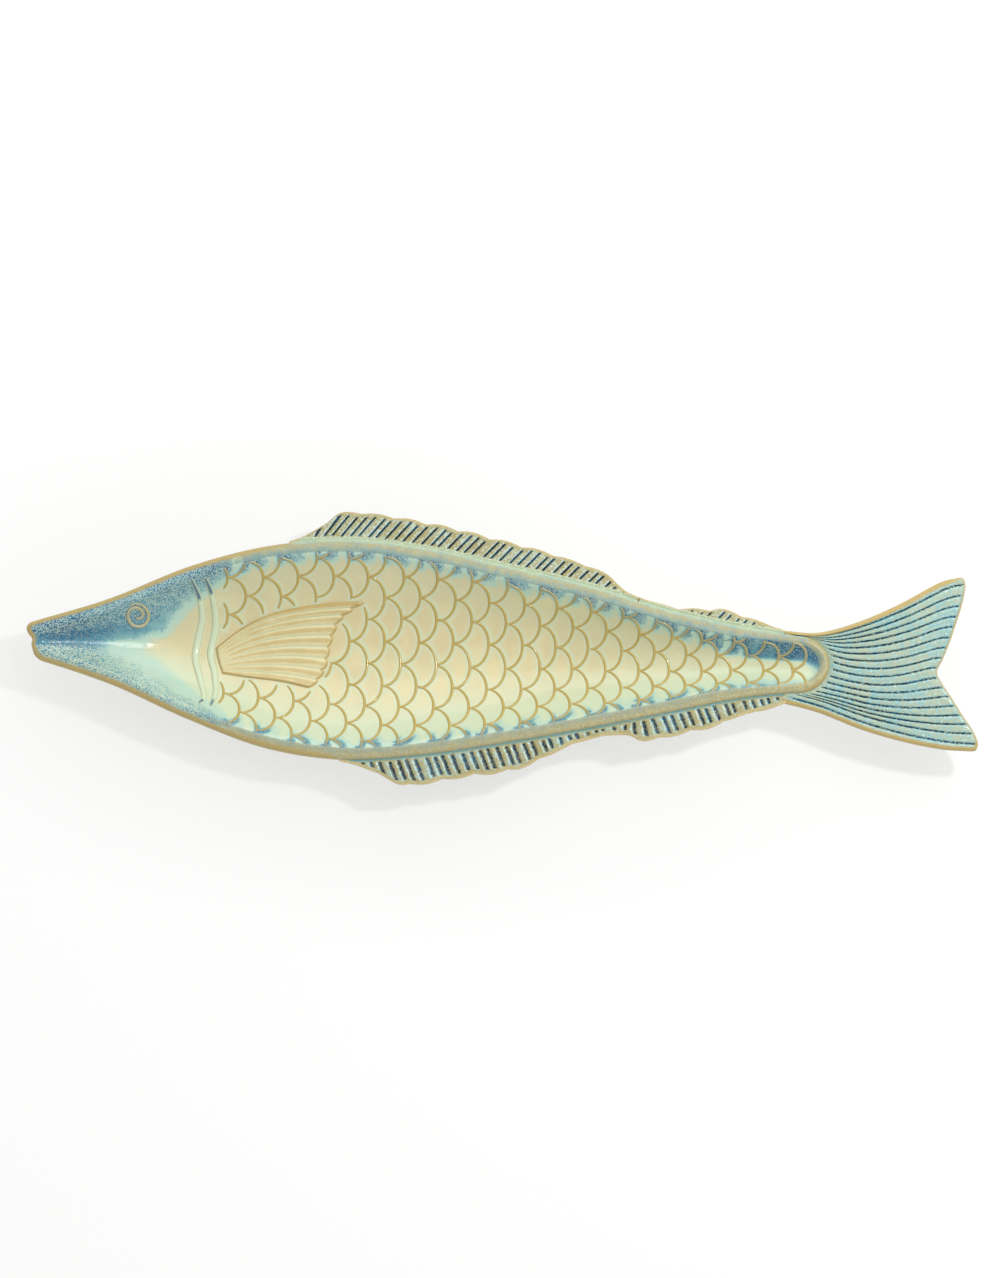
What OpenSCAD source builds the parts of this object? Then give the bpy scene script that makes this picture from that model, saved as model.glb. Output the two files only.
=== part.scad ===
// Fish shaped serving platter: a trough with a round rim, ribbed fins, a forked tail and scales in relief.
// The spine runs along X from the snout to the tail, the back is at +Y, and the foot stands on z = 0.

/* [Dish] */
// Length of the dish from the snout to the round end of the well
body_length = 470; // [420:1:520]
// Height of the back above the spine line, at the deepest part of the body
back_height = 66; // [58:0.5:76]
// Height of the belly below the spine line, at the deepest part of the body
belly_height = 63.5; // [56:0.5:74]
// Depth of the well below the rim
well_depth = 27; // [20:0.5:34]
// Thickness of the clay wall
wall = 5.5; // [4.5:0.1:7]
// Width of the rim band round the well
rim_band = 7; // [5:0.1:9]
// Fall of the rim band from its crest to its outer edge
rim_drop = 2; // [1:0.1:3]
// Length of the round end of the well
end_round = 16; // [12:0.5:20]
// How far the upper lip reaches past the lower one
mouth_lean = 7; // [0:0.5:10]
// Length over which the slant of the mouth fades out
mouth_fade = 45; // [35:1:55]
// Length over which the floor climbs to the mouth
head_climb = 122; // [100:1:130]
// Length over which the floor climbs to the tail
tail_climb = 170; // [150:1:180]

/* [Foot ring] */
// Height of the foot ring
foot_height = 4; // [3:0.1:6]
// Width of the clay in the foot ring
foot_width = 6; // [4:0.1:8]
// Length of the foot ring
foot_length = 160; // [120:1:170]
// Breadth of the foot ring
foot_breadth = 34; // [28:0.5:36]

/* [Fins] */
// Thickness of the fin plates below their ribs
fin_thickness = 4.5; // [3:0.1:5]
// Height of the ribs on the fins and the rays on the tail
rib_height = 1; // [0.6:0.1:1.5]
// Distance from one fin rib to the next
rib_pitch = 5.2; // [4:0.1:7]
// Width of the groove between two ribs or rays
rib_groove = 1.2; // [0.8:0.1:2]
// Plain border round the ribs
fin_border = 1.6; // [1:0.1:2.5]
// Length of one wave of the fin edges
wave_length = 17; // [14:0.5:22]
// Depth of the waves of the fin edges
wave_depth = 1.6; // [0.5:0.1:2.5]
// Length of the long dorsal fin
dorsal_length = 207; // [170:1:225]
// Height of the long dorsal fin
dorsal_height = 17; // [13:0.5:22]
// Length of the rear dorsal fin, which ends at the tail
rear_dorsal_length = 88; // [75:1:105]
// Height of the rear dorsal fin
rear_dorsal_height = 8.5; // [6:0.5:11]
// Length of the pelvic fin
pelvic_length = 164; // [140:1:180]
// Height of the pelvic fin
pelvic_height = 17.5; // [14:0.5:22]
// Length of the anal fin, which ends at the tail
anal_length = 97; // [80:1:115]
// Height of the anal fin
anal_height = 14.5; // [11:0.5:19]

/* [Tail] */
// Length of the tail past the end of the dish
tail_length = 90; // [70:1:110]
// Length over which the tail wraps round the end of the dish
tail_wrap = 25; // [20:1:30]
// Height of the upper lobe above the spine line
tail_up = 57; // [46:0.5:70]
// Height of the lower lobe below the spine line
tail_down = 46; // [38:0.5:58]
// Number of rays in the tail
tail_rays = 18; // [12:1:22]

/* [Relief] */
// Distance across the well from one scale to the next in a column, at its greatest
scale_pitch = 27.5; // [22:0.5:34]
// Distance along the body from one column of scales to the next, at its greatest
scale_step = 10.3; // [8.5:0.1:13]
// Width of the raised line round a scale
scale_line_width = 2; // [1.4:0.1:2.6]
// Height of the raised line round a scale
scale_line_height = 0.9; // [0.5:0.1:1.4]
// Place along the body of the front gill band
gill_start = 100; // [92:0.5:103]
// Distance between the two gill bands
gill_gap = 9; // [7:0.5:11]
// How far the gill bands sway to and fro
gill_sway = 8; // [3:0.5:10]
// Width of a gill band
gill_width = 3; // [2:0.1:4]
// Height of a gill band
gill_rise = 1.3; // [0.8:0.1:1.8]
// Place along the body where the pectoral fin starts
pectoral_start = 112; // [111.5:0.5:120]
// Length of the pectoral fin
pectoral_length = 84; // [74:0.5:94]
// Height of the pectoral fin above the spine line
pectoral_up = 32.5; // [25:0.5:36]
// Height of the pectoral fin below the spine line
pectoral_down = 21; // [19:0.5:29]
// Thickness of the pectoral fin at its rays
pectoral_thickness = 2; // [1.4:0.1:2.6]
// Depth of the grooves between the rays of the pectoral fin
pectoral_groove = 0.9; // [0.4:0.1:1.1]
// Number of rays in the pectoral fin
pectoral_rays = 9; // [7:1:11]
// Place along the body of the eye
eye_place = 62; // [56:0.5:66]
// Height of the eye above the spine line
eye_height = 18; // [14:0.5:19]
// Diameter of the eye
eye_diameter = 15; // [11:0.5:17]
// Width of the raised line of the eye
eye_line_width = 2.4; // [1.6:0.1:2.8]
// Height of the raised line of the eye
eye_line_height = 1.3; // [0.8:0.1:1.8]

/* [Hidden] */

// Outlines of back and belly: place as a share of the body's length, height as a share of the greatest
back_shares = [[0, 0.153], [0.1, 0.416], [0.2, 0.731], [0.3, 0.935], [0.4, 1], [0.5, 0.937],
               [0.6, 0.802], [0.7, 0.658], [0.8, 0.466], [0.9, 0.332], [1, 0.26]];
belly_shares = [[0, 0.163], [0.1, 0.367], [0.2, 0.671], [0.3, 0.918], [0.4, 1], [0.5, 0.928],
                [0.6, 0.793], [0.7, 0.636], [0.8, 0.464], [0.9, 0.296], [1, 0.209]];

// Section of the dish: where its points lie across the half width of the well and of the underside
half_shares = [0.14, 0.27, 0.4, 0.54, 0.68, 0.8, 0.91, 1];
across_shares = concat([for (i = [len(half_shares) - 1 : -1 : 0]) -half_shares[i]], [0], half_shares);
flat_share = 0.4;
band_limit_share = 0.45;
well_power = 2;
under_power = 1.05;
climb_power = 1.25;
body_steps = 44;
end_angles = [20, 38, 55, 70, 82];

// Outline of the foot ring
foot_power = 3;
foot_steps = 24;

// Fins: place as a share of the fin's length, height as a share of its greatest
dorsal_shares = [[0, 0.05], [0.05, 0.24], [0.1, 0.6], [0.13, 0.9], [0.16, 1], [0.3, 0.97], [0.5, 0.92],
                 [0.7, 0.86], [0.85, 0.7], [0.91, 0.58], [0.96, 0.22], [1, 0.14]];
rear_dorsal_shares = [[0, 0.29], [0.25, 0.37], [0.41, 0.68], [0.54, 1], [0.67, 0.9], [0.81, 0.64],
                      [1, 0.26]];
pelvic_shares = [[0, 0.05], [0.07, 0.2], [0.15, 0.55], [0.22, 0.93], [0.27, 1], [0.43, 0.95], [0.63, 0.98],
                 [0.72, 0.78], [0.79, 0.56], [0.86, 0.42], [0.93, 0.36], [1, 0.42]];
anal_shares = [[0, 0.5], [0.07, 0.66], [0.13, 0.92], [0.2, 1], [0.37, 1], [0.6, 0.95], [0.73, 0.7],
               [0.85, 0.64], [1, 0.38]];
dorsal_sweep = 38;
belly_sweep = 22;
edge_steps = 72;
rib_steps = 24;

// Tail: places as shares of its reach, heights as shares of the upper and the lower lobe
tail_top_shares = [[0, 0.371], [0.165, 0.371], [0.365, 0.498], [0.565, 0.689], [0.765, 0.925], [0.885, 1]];
tail_low_shares = [[0, -0.47], [0.174, -0.574], [0.383, -0.762], [0.591, -0.898], [0.8, -0.985],
                   [0.97, -1]];
tail_tip_shares = [[0.885, 1], [0.903, 0.86], [0.885, 0.687], [0.858, 0.498], [0.826, 0.292],
                   [0.795, 0.129], [0.765, 0], [0.798, -0.149], [0.849, -0.33], [0.902, -0.532],
                   [0.952, -0.702], [0.99, -0.883], [0.97, -1]];
ray_start_share = 0.05;
ray_stop_share = 0.97;
root_power = 5;
tail_edge_steps = 24;
ray_steps = 14;

// Pectoral fin: places as shares of its length, heights as shares of its upper and its lower part
pectoral_top_shares = [[0, 0.05], [0.14, 0.42], [0.47, 0.86], [0.75, 1], [0.98, 0.97]];
pectoral_low_shares = [[0.02, -0.7], [0.2, -0.78], [0.42, -0.87], [0.64, -1]];
pectoral_tip_shares = [[0.98, 0.97], [0.92, 0.68], [0.84, 0.23], [0.77, -0.27], [0.7, -0.72], [0.64, -1]];
pectoral_root_shares = [[0, 0.05], [-0.02, -0.3], [0.02, -0.7]];
pectoral_steps = 12;

// Gill bands: places as shares of the sway, heights as shares of the back and the belly
front_gill_shares = [[-0.7, 0.6], [-0.15, 0.45], [0.05, 0.28], [-0.2, 0.1], [-0.35, -0.08], [0.05, -0.26],
                     [0.5, -0.45], [0.2, -0.52]];
rear_gill_shares = [[-0.7, 0.62], [-0.24, 0.48], [0.05, 0.24], [-0.24, -0.03], [0.1, -0.21], [0.3, -0.4],
                    [0.04, -0.54]];
gill_steps = 28;

// Scales: pitch and step along the body as shares of their greatest, and how the lines lie in them
pitch_shares = [[0, 0.85], [0.25, 0.92], [0.42, 0.97], [0.52, 1], [0.62, 0.99], [0.7, 0.94], [0.78, 0.84],
                [0.89, 0.68], [1, 0.55]];
step_shares = [[0, 1], [0.5, 1], [0.65, 0.96], [0.78, 0.91], [0.9, 0.86], [1, 0.8]];
row_share = -0.22;
field_share = 0.98;
girth_shares = [0 : 0.1 : 1.2];
line_end_share = 0.2;
scale_gap = 0.3;
arc_steps = 4;

// Eye: one curl that opens as it turns
eye_inner_share = 0.2;
eye_turns = 1.7;
eye_open_angle = 130;
eye_steps = 30;

// Heights that the pieces share
rim = foot_height + wall + well_depth;
edge_top = rim - rim_drop;
fin_top = edge_top - rib_height;
fin_floor = fin_top - fin_thickness;
tail_start = body_length - tail_wrap;
rear_dorsal_start = tail_start - rear_dorsal_length;
dorsal_start = rear_dorsal_start - dorsal_length;
anal_start = tail_start - anal_length;
pelvic_start = anal_start - pelvic_length;

glaze = [0.72, 0.78, 0.66];
fin_glaze = [0.55, 0.53, 0.36];
relief_glaze = [0.74, 0.66, 0.38];
bare_clay = [0.8, 0.72, 0.6];

// Value part of the way from a to b
function mix(a, b, t) = a + (b - a) * t;

// Cubic between two values with given slopes
function cubic(a, b, slope_a, slope_b, t) =
    a * (2 * t ^ 3 - 3 * t ^ 2 + 1) + b * (3 * t ^ 2 - 2 * t ^ 3)
    + slope_a * (t ^ 3 - 2 * t ^ 2 + t) + slope_b * (t ^ 3 - t ^ 2);

// Slope of a table of [x, y] at one of its points
function table_slope(table, i) =
    let (a = table[max(i - 1, 0)], b = table[min(i + 1, len(table) - 1)])
    (b.y - a.y) / (b.x - a.x);

// Smooth value at x of a table of [x, y]
function curve(x, table, i = 0) =
    i < len(table) - 2 && x > table[i + 1].x ? curve(x, table, i + 1)
    : let (a = table[i], b = table[i + 1], span = b.x - a.x)
    cubic(a.y, b.y, span * table_slope(table, i), span * table_slope(table, i + 1), (x - a.x) / span);

// Point at share t of a smooth line through the points
function spline(t, points) =
    let (
        last = len(points) - 1,
        x = min(max(t, 0), 1) * last,
        i = min(floor(x), last - 1),
        a = points[i],
        b = points[i + 1],
        slope_a = i > 0 ? (b - points[i - 1]) / 2 : b - a,
        slope_b = i < last - 1 ? (points[i + 2] - a) / 2 : b - a
    )
    cubic(a, b, slope_a, slope_b, x - i);

// Point of the patch between four edges: s runs from root to tip, a from the top edge to the low one
function patch(s, a, top, low, root, tip) =
    mix(top(s), low(s), a) + mix(root(a), tip(a), s)
    - mix(mix(top(0), low(0), a), mix(top(1), low(1), a), s);

// Whether a point lies inside a closed outline
function inside(p, outline) =
    len([
        for (i = [0 : len(outline) - 1])
            let (a = outline[i], b = outline[(i + 1) % len(outline)])
            if ((a.y > p.y) != (b.y > p.y) && p.x < a.x + (b.x - a.x) * (p.y - a.y) / (b.y - a.y)) 1
    ]) % 2 == 1;

// Plan of the dish
function back(u) = back_height * curve(u / body_length, back_shares);
function belly(u) = belly_height * curve(u / body_length, belly_shares);
function rounding(u) = sqrt(1 - max(0, (u - body_length) / end_round + 1) ^ 2);
function middle(u) = (back(u) - belly(u)) / 2;
function half(u) = rounding(u) * (back(u) + belly(u)) / 2;
function inner(u) = half(u) - min(rim_band, band_limit_share * half(u));
function outer(u) = inner(u) + min(wall, band_limit_share * half(u)) / 2;
function lean(u) = let (t = min(u / mouth_fade, 1)) mouth_lean / 2 * (1 - t * t * (3 - 2 * t));

// Heights of the dish: the bed of the well along the spine, and the rise from it to the rim and its edge
function climb(t) = 1 - (1 - min(t, 1)) ^ climb_power;
function bed(u) = rim - well_depth * climb(u / head_climb) * climb((body_length - u) / tail_climb);
function well_rise(t) = t ^ well_power;
function under_rise(t) = max(0, (t - flat_share) / (1 - flat_share)) ^ under_power;

stations = concat(
    [for (i = [0 : body_steps]) (body_length - end_round) * i / body_steps],
    [for (a = end_angles) body_length - end_round * (1 - sin(a))]
);
half_table = [for (u = stations) [u, half(u)]];
middle_table = [for (u = stations) [u, middle(u)]];
inner_table = [for (u = stations) [u, inner(u)]];
bed_table = [for (u = stations) [u, bed(u)]];
rise_table = [for (t = across_shares) if (t >= 0) [t, well_rise(t)]];

// Outer edge of the rim on the back (side 1) or the belly (side -1)
function rim_y(u, side) = lookup(u, middle_table) + side * lookup(u, half_table);

// How far across the well a point lies, as a share of the half width there
function across(p) = abs(p.y - lookup(p.x, middle_table)) / lookup(p.x, inner_table);

// Height of the well's surface under a point
function well_z(p) = mix(lookup(p.x, bed_table), rim, lookup(across(p), rise_table));

// Closed section of the dish: across the well from the belly to the back, then back along the underside
function section(u) = [
    for (q = concat(
        [[-half(u), edge_top]],
        [for (t = across_shares) [t * inner(u), mix(bed(u), rim, well_rise(abs(t)))]],
        [[half(u), edge_top], [half(u), edge_top - wall]],
        [for (t = across_shares) [-t * outer(u), mix(bed(u), edge_top, under_rise(abs(t))) - wall]],
        [[-half(u), edge_top - wall]]
    ))
        [u - lean(u) * q.x / half(u), middle(u) + q.x, q.y]
];

// Points of a fin's root along the rim
function root_places(start, stop) =
    concat([start], [for (u = stations) if (u > start && u < stop) u], [stop]);

// Edges of the tail
function tail_point(share) =
    [tail_start + share.x * (tail_length + tail_wrap), share.y * (share.y > 0 ? tail_up : tail_down)];
tail_top = function (s) tail_point(spline(s, tail_top_shares));
tail_low = function (s) tail_point(spline(s, tail_low_shares));
tail_tip = function (a) tail_point(spline(a, tail_tip_shares));
tail_places = root_places(tail_start, stations[len(stations) - 1]);
tail_end = [
    for (u = tail_places) [u, rim_y(u, 1)],
    for (i = [len(tail_places) - 1 : -1 : 0]) [tail_places[i], rim_y(tail_places[i], -1)]
];
tail_root = function (a)
    mix(spline(a, tail_end), mix(tail_top(0), tail_low(0), a), abs(2 * a - 1) ^ root_power);
function tail_ray(s, a) = patch(s, a, tail_top, tail_low, tail_root, tail_tip);

// Edges of the pectoral fin
function pectoral_point(share) =
    [pectoral_start + share.x * pectoral_length, share.y * (share.y > 0 ? pectoral_up : pectoral_down)];
pectoral_top = function (s) pectoral_point(spline(s, pectoral_top_shares));
pectoral_low = function (s) pectoral_point(spline(s, pectoral_low_shares));
pectoral_tip = function (a) pectoral_point(spline(a, pectoral_tip_shares));
pectoral_root = function (a) pectoral_point(spline(a, pectoral_root_shares));
function pectoral_place(s, a) = patch(s, a, pectoral_top, pectoral_low, pectoral_root, pectoral_tip);
pectoral_outline = [
    for (i = [0 : pectoral_steps]) pectoral_top(i / pectoral_steps),
    for (i = [1 : pectoral_steps]) pectoral_tip(i / pectoral_steps),
    for (i = [pectoral_steps - 1 : -1 : 0]) pectoral_low(i / pectoral_steps)
];

// Line of a gill band
function gill_line(start, shares) = [
    for (i = [0 : gill_steps])
        let (share = spline(i / gill_steps, shares))
        [start + share.x * gill_sway, share.y * (share.y > 0 ? back_height : belly_height)]
];
front_gill = gill_line(gill_start, front_gill_shares);
rear_gill = gill_line(gill_start + gill_gap, rear_gill_shares);
scales_start = max([for (p = rear_gill) p.x]) + gill_width;

// Way across the well along its curved surface, from the bed to a share of the half width, and back
function girth(u, t) =
    let (w = lookup(u, inner_table), d = rim - lookup(u, bed_table), x = 2 * d * t / w)
    w * t / 2 * sqrt(1 + x ^ 2) + w ^ 2 / (4 * d) * ln(x + sqrt(1 + x ^ 2));
function girth_place(u, g) =
    let (t = lookup(abs(g), [for (t = girth_shares) [girth(u, t), t]]))
    [u, lookup(u, middle_table) + sign(g) * t * lookup(u, inner_table)];

// Scales: columns of arcs, each column half a pitch off the one before
function pitch(u) = scale_pitch * curve(u / body_length, pitch_shares);
function stride(u) = scale_step * curve(u / body_length, step_shares);
function columns(u) = u > body_length - end_round ? [] : concat([u], columns(u + stride(u)));
function arc_angle(u) = asin(1 - (scale_line_width * line_end_share + scale_gap) / pitch(u));
function scale_arc(u, g) = [
    for (k = [-arc_steps : arc_steps])
        let (a = arc_angle(u) * k / arc_steps)
        girth_place(u - stride(u) * (1 - cos(a)), g + pitch(u) / 2 * sin(a))
];
function in_pectoral(p) =
    len([
        for (way = [[1, 0], [-1, 0], [0, 1], [0, -1]])
            if (inside(p + way * scale_line_width, pectoral_outline)) 1
    ]) > 0;
function in_field(p) = p.x > scales_start && across(p) < field_share && !in_pectoral(p);

// First stretch of an arc that lies in the field
function reach(arc, i) = i + 1 < len(arc) && in_field(arc[i + 1]) ? reach(arc, i + 1) : i;
function trimmed(arc) =
    let (kept = [for (i = [0 : len(arc) - 1]) if (in_field(arc[i])) i])
    len(kept) > 0 ? [for (i = [kept[0] : reach(arc, kept[0])]) arc[i]] : [];

// Faces of a closed shell through rings of as many points, capped by strips across the first and last.
// Each ring turns anticlockwise as seen from the first ring towards the last, so that the faces look outwards
function shell_faces(rings, first) =
    let (
        size = len(rings[0]),
        last = len(rings) - 1,
        cap = [
            for (j = [0 : floor((size - 3) / 2)])
                each [
                    [j, j + 1, size - 1 - j],
                    if (j + 1 < size - 2 - j) [j + 1, size - 2 - j, size - 1 - j]
                ]
        ],
        sides = [
            for (i = [0 : last - 1], j = [0 : size - 1])
                let (a = i * size + j, b = i * size + (j + 1) % size)
                each [[a, b + size, a + size], [a, b, b + size]]
        ],
        start_cap = [for (face = cap) [face[2], face[1], face[0]]],
        stop_cap = [for (face = cap) [for (corner = face) corner + last * size]]
    )
    [for (face = concat(start_cap, sides, stop_cap)) [for (corner = face) corner + first]];

// Closed shells that stand apart, each given by its rings
module loft(shells) {
    counts = [for (rings = shells) len(rings) * len(rings[0])];
    firsts = [for (i = 0, first = 0; i < len(shells); first = first + counts[i], i = i + 1) first];
    polyhedron(
        [for (rings = shells, ring = rings) each ring],
        [for (i = [0 : len(shells) - 1]) each shell_faces(shells[i], firsts[i])]
    );
}

// Rings of a raised line on the surface of the well, thinner at its ends
function raised_line(line, width, height) =
    let (last = len(line) - 1)
    [
        for (i = [0 : last])
            let (
                along = line[min(i + 1, last)] - line[max(i - 1, 0)],
                thin = mix(line_end_share, 1, sin(180 * i / last)),
                out = [-along.y, along.x] * width * thin / (2 * norm(along)),
                left = line[i] + out,
                right = line[i] - out
            )
            [
                [right.x, right.y, well_z(right)],
                [line[i].x, line[i].y, well_z(line[i]) + height * thin],
                [left.x, left.y, well_z(left)]
            ]
    ];

// Ribbed plate along the rim on the back (side 1) or the belly (side -1)
function fin_reach(u, start, stop, height, shares) =
    let (x = (u - start) / (stop - start))
    height * curve(x, shares) - wave_depth * sin(180 * x) * (1 - abs(sin(180 * (u - start) / wave_length)));
function fin_edge(start, stop, height, shares, side) = [
    for (i = [edge_steps : -1 : 0])
        let (u = mix(start, stop, i / edge_steps))
        [u, rim_y(u, side) + side * fin_reach(u, start, stop, height, shares)]
];

module fin(start, stop, height, shares, side, sweep) {
    half_rib = (rib_pitch - rib_groove) / 2;
    root = [for (u = root_places(start, stop)) [u, rim_y(u, side)]];
    translate([0, 0, fin_floor]) {
        linear_extrude(fin_thickness) polygon(concat(root, fin_edge(start, stop, height, shares, side)));
        for (u = [start + rib_pitch : rib_pitch : stop - rib_pitch]) {
            tops = [
                for (i = [1 : rib_steps])
                    let (h = height * i / rib_steps, tip_u = u + h * tan(sweep))
                    if (tip_u < stop - half_rib
                        && h < fin_reach(tip_u, start, stop, height, shares) - fin_border) h
            ];
            top = len(tops) > 0 ? max(tops) : 0;
            if (top > 2 * fin_border)
                linear_extrude(fin_thickness + rib_height)
                    polygon([
                        for (corner = [[-1, fin_border], [1, fin_border], [1, top], [-1, top]])
                            let (x = u + corner.x * half_rib + corner.y * tan(sweep))
                            [x, rim_y(x, side) + side * corner.y]
                    ]);
        }
    }
}

// Oblong with full round ends, for the foot ring
module oblong(length, breadth) {
    polygon([
        for (side = [1, -1], i = [-foot_steps : foot_steps - 1])
            let (a = 90 * i / foot_steps, x = side * sin(a))
            [x * length / 2, side * (1 - abs(x) ^ foot_power) ^ (1 / 2) * breadth / 2]
    ]);
}

// The part stands centred on the origin
dorsal_edge = fin_edge(dorsal_start, rear_dorsal_start, dorsal_height, dorsal_shares, 1);
pelvic_edge = fin_edge(pelvic_start, anal_start, pelvic_height, pelvic_shares, -1);
tail_trail = [for (i = [0 : 2 * tail_edge_steps]) tail_tip(i / (2 * tail_edge_steps))];
lip_x = -lean(0);
tail_x = max([for (p = tail_trail) p.x]);
top_y = max([for (p = dorsal_edge) p.y]);
low_y = min([for (p = pelvic_edge) p.y]);

module place() {
    translate([-(lip_x + tail_x) / 2, -(top_y + low_y) / 2, 0]) children();
}

module dish() {
    color(glaze) place() loft([[for (u = stations) section(u)]]);
}

module foot_ring() {
    flat_middle = (head_climb + body_length - tail_climb) / 2;
    color(bare_clay) place()
        translate([flat_middle, middle(flat_middle), 0])
            linear_extrude(foot_height)
                difference() {
                    oblong(foot_length, foot_breadth);
                    oblong(foot_length - 2 * foot_width, foot_breadth - 2 * foot_width);
                }
}

module tail_fin() {
    step = 1 / tail_rays;
    groove = rib_groove / (tail_up + tail_down) / 2;
    ray_places = [for (k = [0 : ray_steps]) mix(ray_start_share, ray_stop_share, k / ray_steps)];
    outline = concat(
        [for (i = [0 : tail_edge_steps - 1]) tail_top(i / tail_edge_steps)],
        tail_trail,
        [for (i = [tail_edge_steps - 1 : -1 : 0]) tail_low(i / tail_edge_steps)],
        [for (i = [len(tail_end) - 1 : -1 : 0]) tail_end[i]]
    );
    color(fin_glaze) place() translate([0, 0, fin_floor]) {
        linear_extrude(fin_thickness) polygon(outline);
        for (i = [0 : tail_rays - 1]) {
            low = i * step + groove;
            high = (i + 1) * step - groove;
            linear_extrude(fin_thickness + rib_height)
                polygon([
                    for (s = ray_places) tail_ray(s, low),
                    for (k = [ray_steps : -1 : 0]) tail_ray(ray_places[k], high)
                ]);
        }
    }
}

module dorsal_fin() {
    color(fin_glaze) place()
        fin(dorsal_start, rear_dorsal_start, dorsal_height, dorsal_shares, 1, dorsal_sweep);
}

module rear_dorsal_fin() {
    color(fin_glaze) place()
        fin(rear_dorsal_start, tail_start, rear_dorsal_height, rear_dorsal_shares, 1, dorsal_sweep);
}

module pelvic_fin() {
    color(fin_glaze) place() fin(pelvic_start, anal_start, pelvic_height, pelvic_shares, -1, belly_sweep);
}

module anal_fin() {
    color(fin_glaze) place() fin(anal_start, tail_start, anal_height, anal_shares, -1, belly_sweep);
}

module pectoral_fin() {
    columns_in_ray = 4;
    count = pectoral_rays * columns_in_ray;
    color(relief_glaze) place()
        loft([[
            for (i = [0 : pectoral_steps])
                let (line = [for (k = [0 : count]) pectoral_place(i / pectoral_steps, k / count)])
                [
                    for (k = [count : -1 : 0])
                        let (lift = pectoral_thickness - (k % columns_in_ray == 0 ? pectoral_groove : 0))
                        [line[k].x, line[k].y, well_z(line[k]) + lift],
                    for (k = [0 : count]) [line[k].x, line[k].y, well_z(line[k])]
                ]
        ]]);
}

module front_gill_band() {
    color(relief_glaze) place() loft([raised_line(front_gill, gill_width, gill_rise)]);
}

module rear_gill_band() {
    color(relief_glaze) place() loft([raised_line(rear_gill, gill_width, gill_rise)]);
}

module eye() {
    radius = (eye_diameter - eye_line_width) / 2;
    curl = [
        for (i = [0 : eye_steps])
            let (
                t = i / eye_steps,
                angle = eye_open_angle - 360 * eye_turns * (1 - t),
                r = radius * mix(eye_inner_share, 1, min(1, t * eye_turns))
            )
            [eye_place + r * cos(angle), eye_height + r * sin(angle)]
    ];
    color(relief_glaze) place() loft([raised_line(curl, eye_line_width, eye_line_height)]);
}

module scales() {
    places = columns(scales_start + scale_line_width);
    arcs = [
        for (k = [0 : len(places) - 1])
            let (u = places[k], rows = ceil(girth(u, 1) / pitch(u)))
            for (j = [-rows : rows]) scale_arc(u, (j + k % 2 / 2 + row_share) * pitch(u))
    ];
    lines = [for (arc = arcs) trimmed(arc)];
    color(relief_glaze) place()
        loft([
            for (line = lines)
                if (len(line) > arc_steps) raised_line(line, scale_line_width, scale_line_height)
        ]);
}

dish();
foot_ring();
tail_fin();
dorsal_fin();
rear_dorsal_fin();
pelvic_fin();
anal_fin();
pectoral_fin();
front_gill_band();
rear_gill_band();
eye();
scales();
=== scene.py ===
"""Fish shaped serving platter in reactive glaze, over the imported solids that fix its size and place."""

import logging
import math
from dataclasses import dataclass, field
from enum import Enum
from functools import partial
from typing import Any, Callable

import bmesh
import bpy
import numpy as np
from mathutils import Matrix, Vector
from mathutils.kdtree import KDTree


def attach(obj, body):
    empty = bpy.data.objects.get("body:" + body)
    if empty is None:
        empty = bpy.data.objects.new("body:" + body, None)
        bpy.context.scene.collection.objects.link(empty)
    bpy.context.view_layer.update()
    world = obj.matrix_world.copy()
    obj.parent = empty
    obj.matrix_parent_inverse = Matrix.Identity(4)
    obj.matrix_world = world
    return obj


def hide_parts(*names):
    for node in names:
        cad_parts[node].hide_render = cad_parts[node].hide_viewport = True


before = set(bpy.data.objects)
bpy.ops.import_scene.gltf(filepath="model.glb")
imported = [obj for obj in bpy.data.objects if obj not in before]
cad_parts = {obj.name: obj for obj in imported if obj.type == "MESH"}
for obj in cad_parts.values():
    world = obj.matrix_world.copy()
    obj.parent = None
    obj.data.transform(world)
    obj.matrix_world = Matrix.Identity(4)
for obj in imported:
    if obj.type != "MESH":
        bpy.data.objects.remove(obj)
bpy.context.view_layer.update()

log = logging.getLogger("platter")

MM = 0.001
SPINE_ORIGIN = (277.675, 2.637)
ROOT_LIFT = 0.5  # hidden roots stand off the underside of the dish, in mm
THINNEST = 0.2  # least thickness of a fin's edge, in mm
FIN_DROP = 0.05  # fins lie this far under the edge of the rim, in mm
LEAST_HALF = 0.8  # least half width by which places across the well are measured, in mm

Array = np.ndarray
Shares = tuple[tuple[float, float], ...]
Line = Callable[[Array], Array]
Colour = tuple[float, float, float, float]
Settings = dict[Any, Any] | None


class Side(Enum):
    """Side of the fish that a fin grows on."""

    BACK = 1
    BELLY = -1


def cubic(a: Array, b: Array, slope_a: Array, slope_b: Array, t: Array) -> Array:
    """Cubic between two values with given slopes.

    Args:
        a: Value at t = 0.
        b: Value at t = 1.
        slope_a: Slope at t = 0.
        slope_b: Slope at t = 1.
        t: Share of the way.

    Returns:
        The values at t.
    """
    return (a * (2 * t ** 3 - 3 * t ** 2 + 1) + b * (3 * t ** 2 - 2 * t ** 3)
            + slope_a * (t ** 3 - 2 * t ** 2 + t) + slope_b * (t ** 3 - t ** 2))


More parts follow.
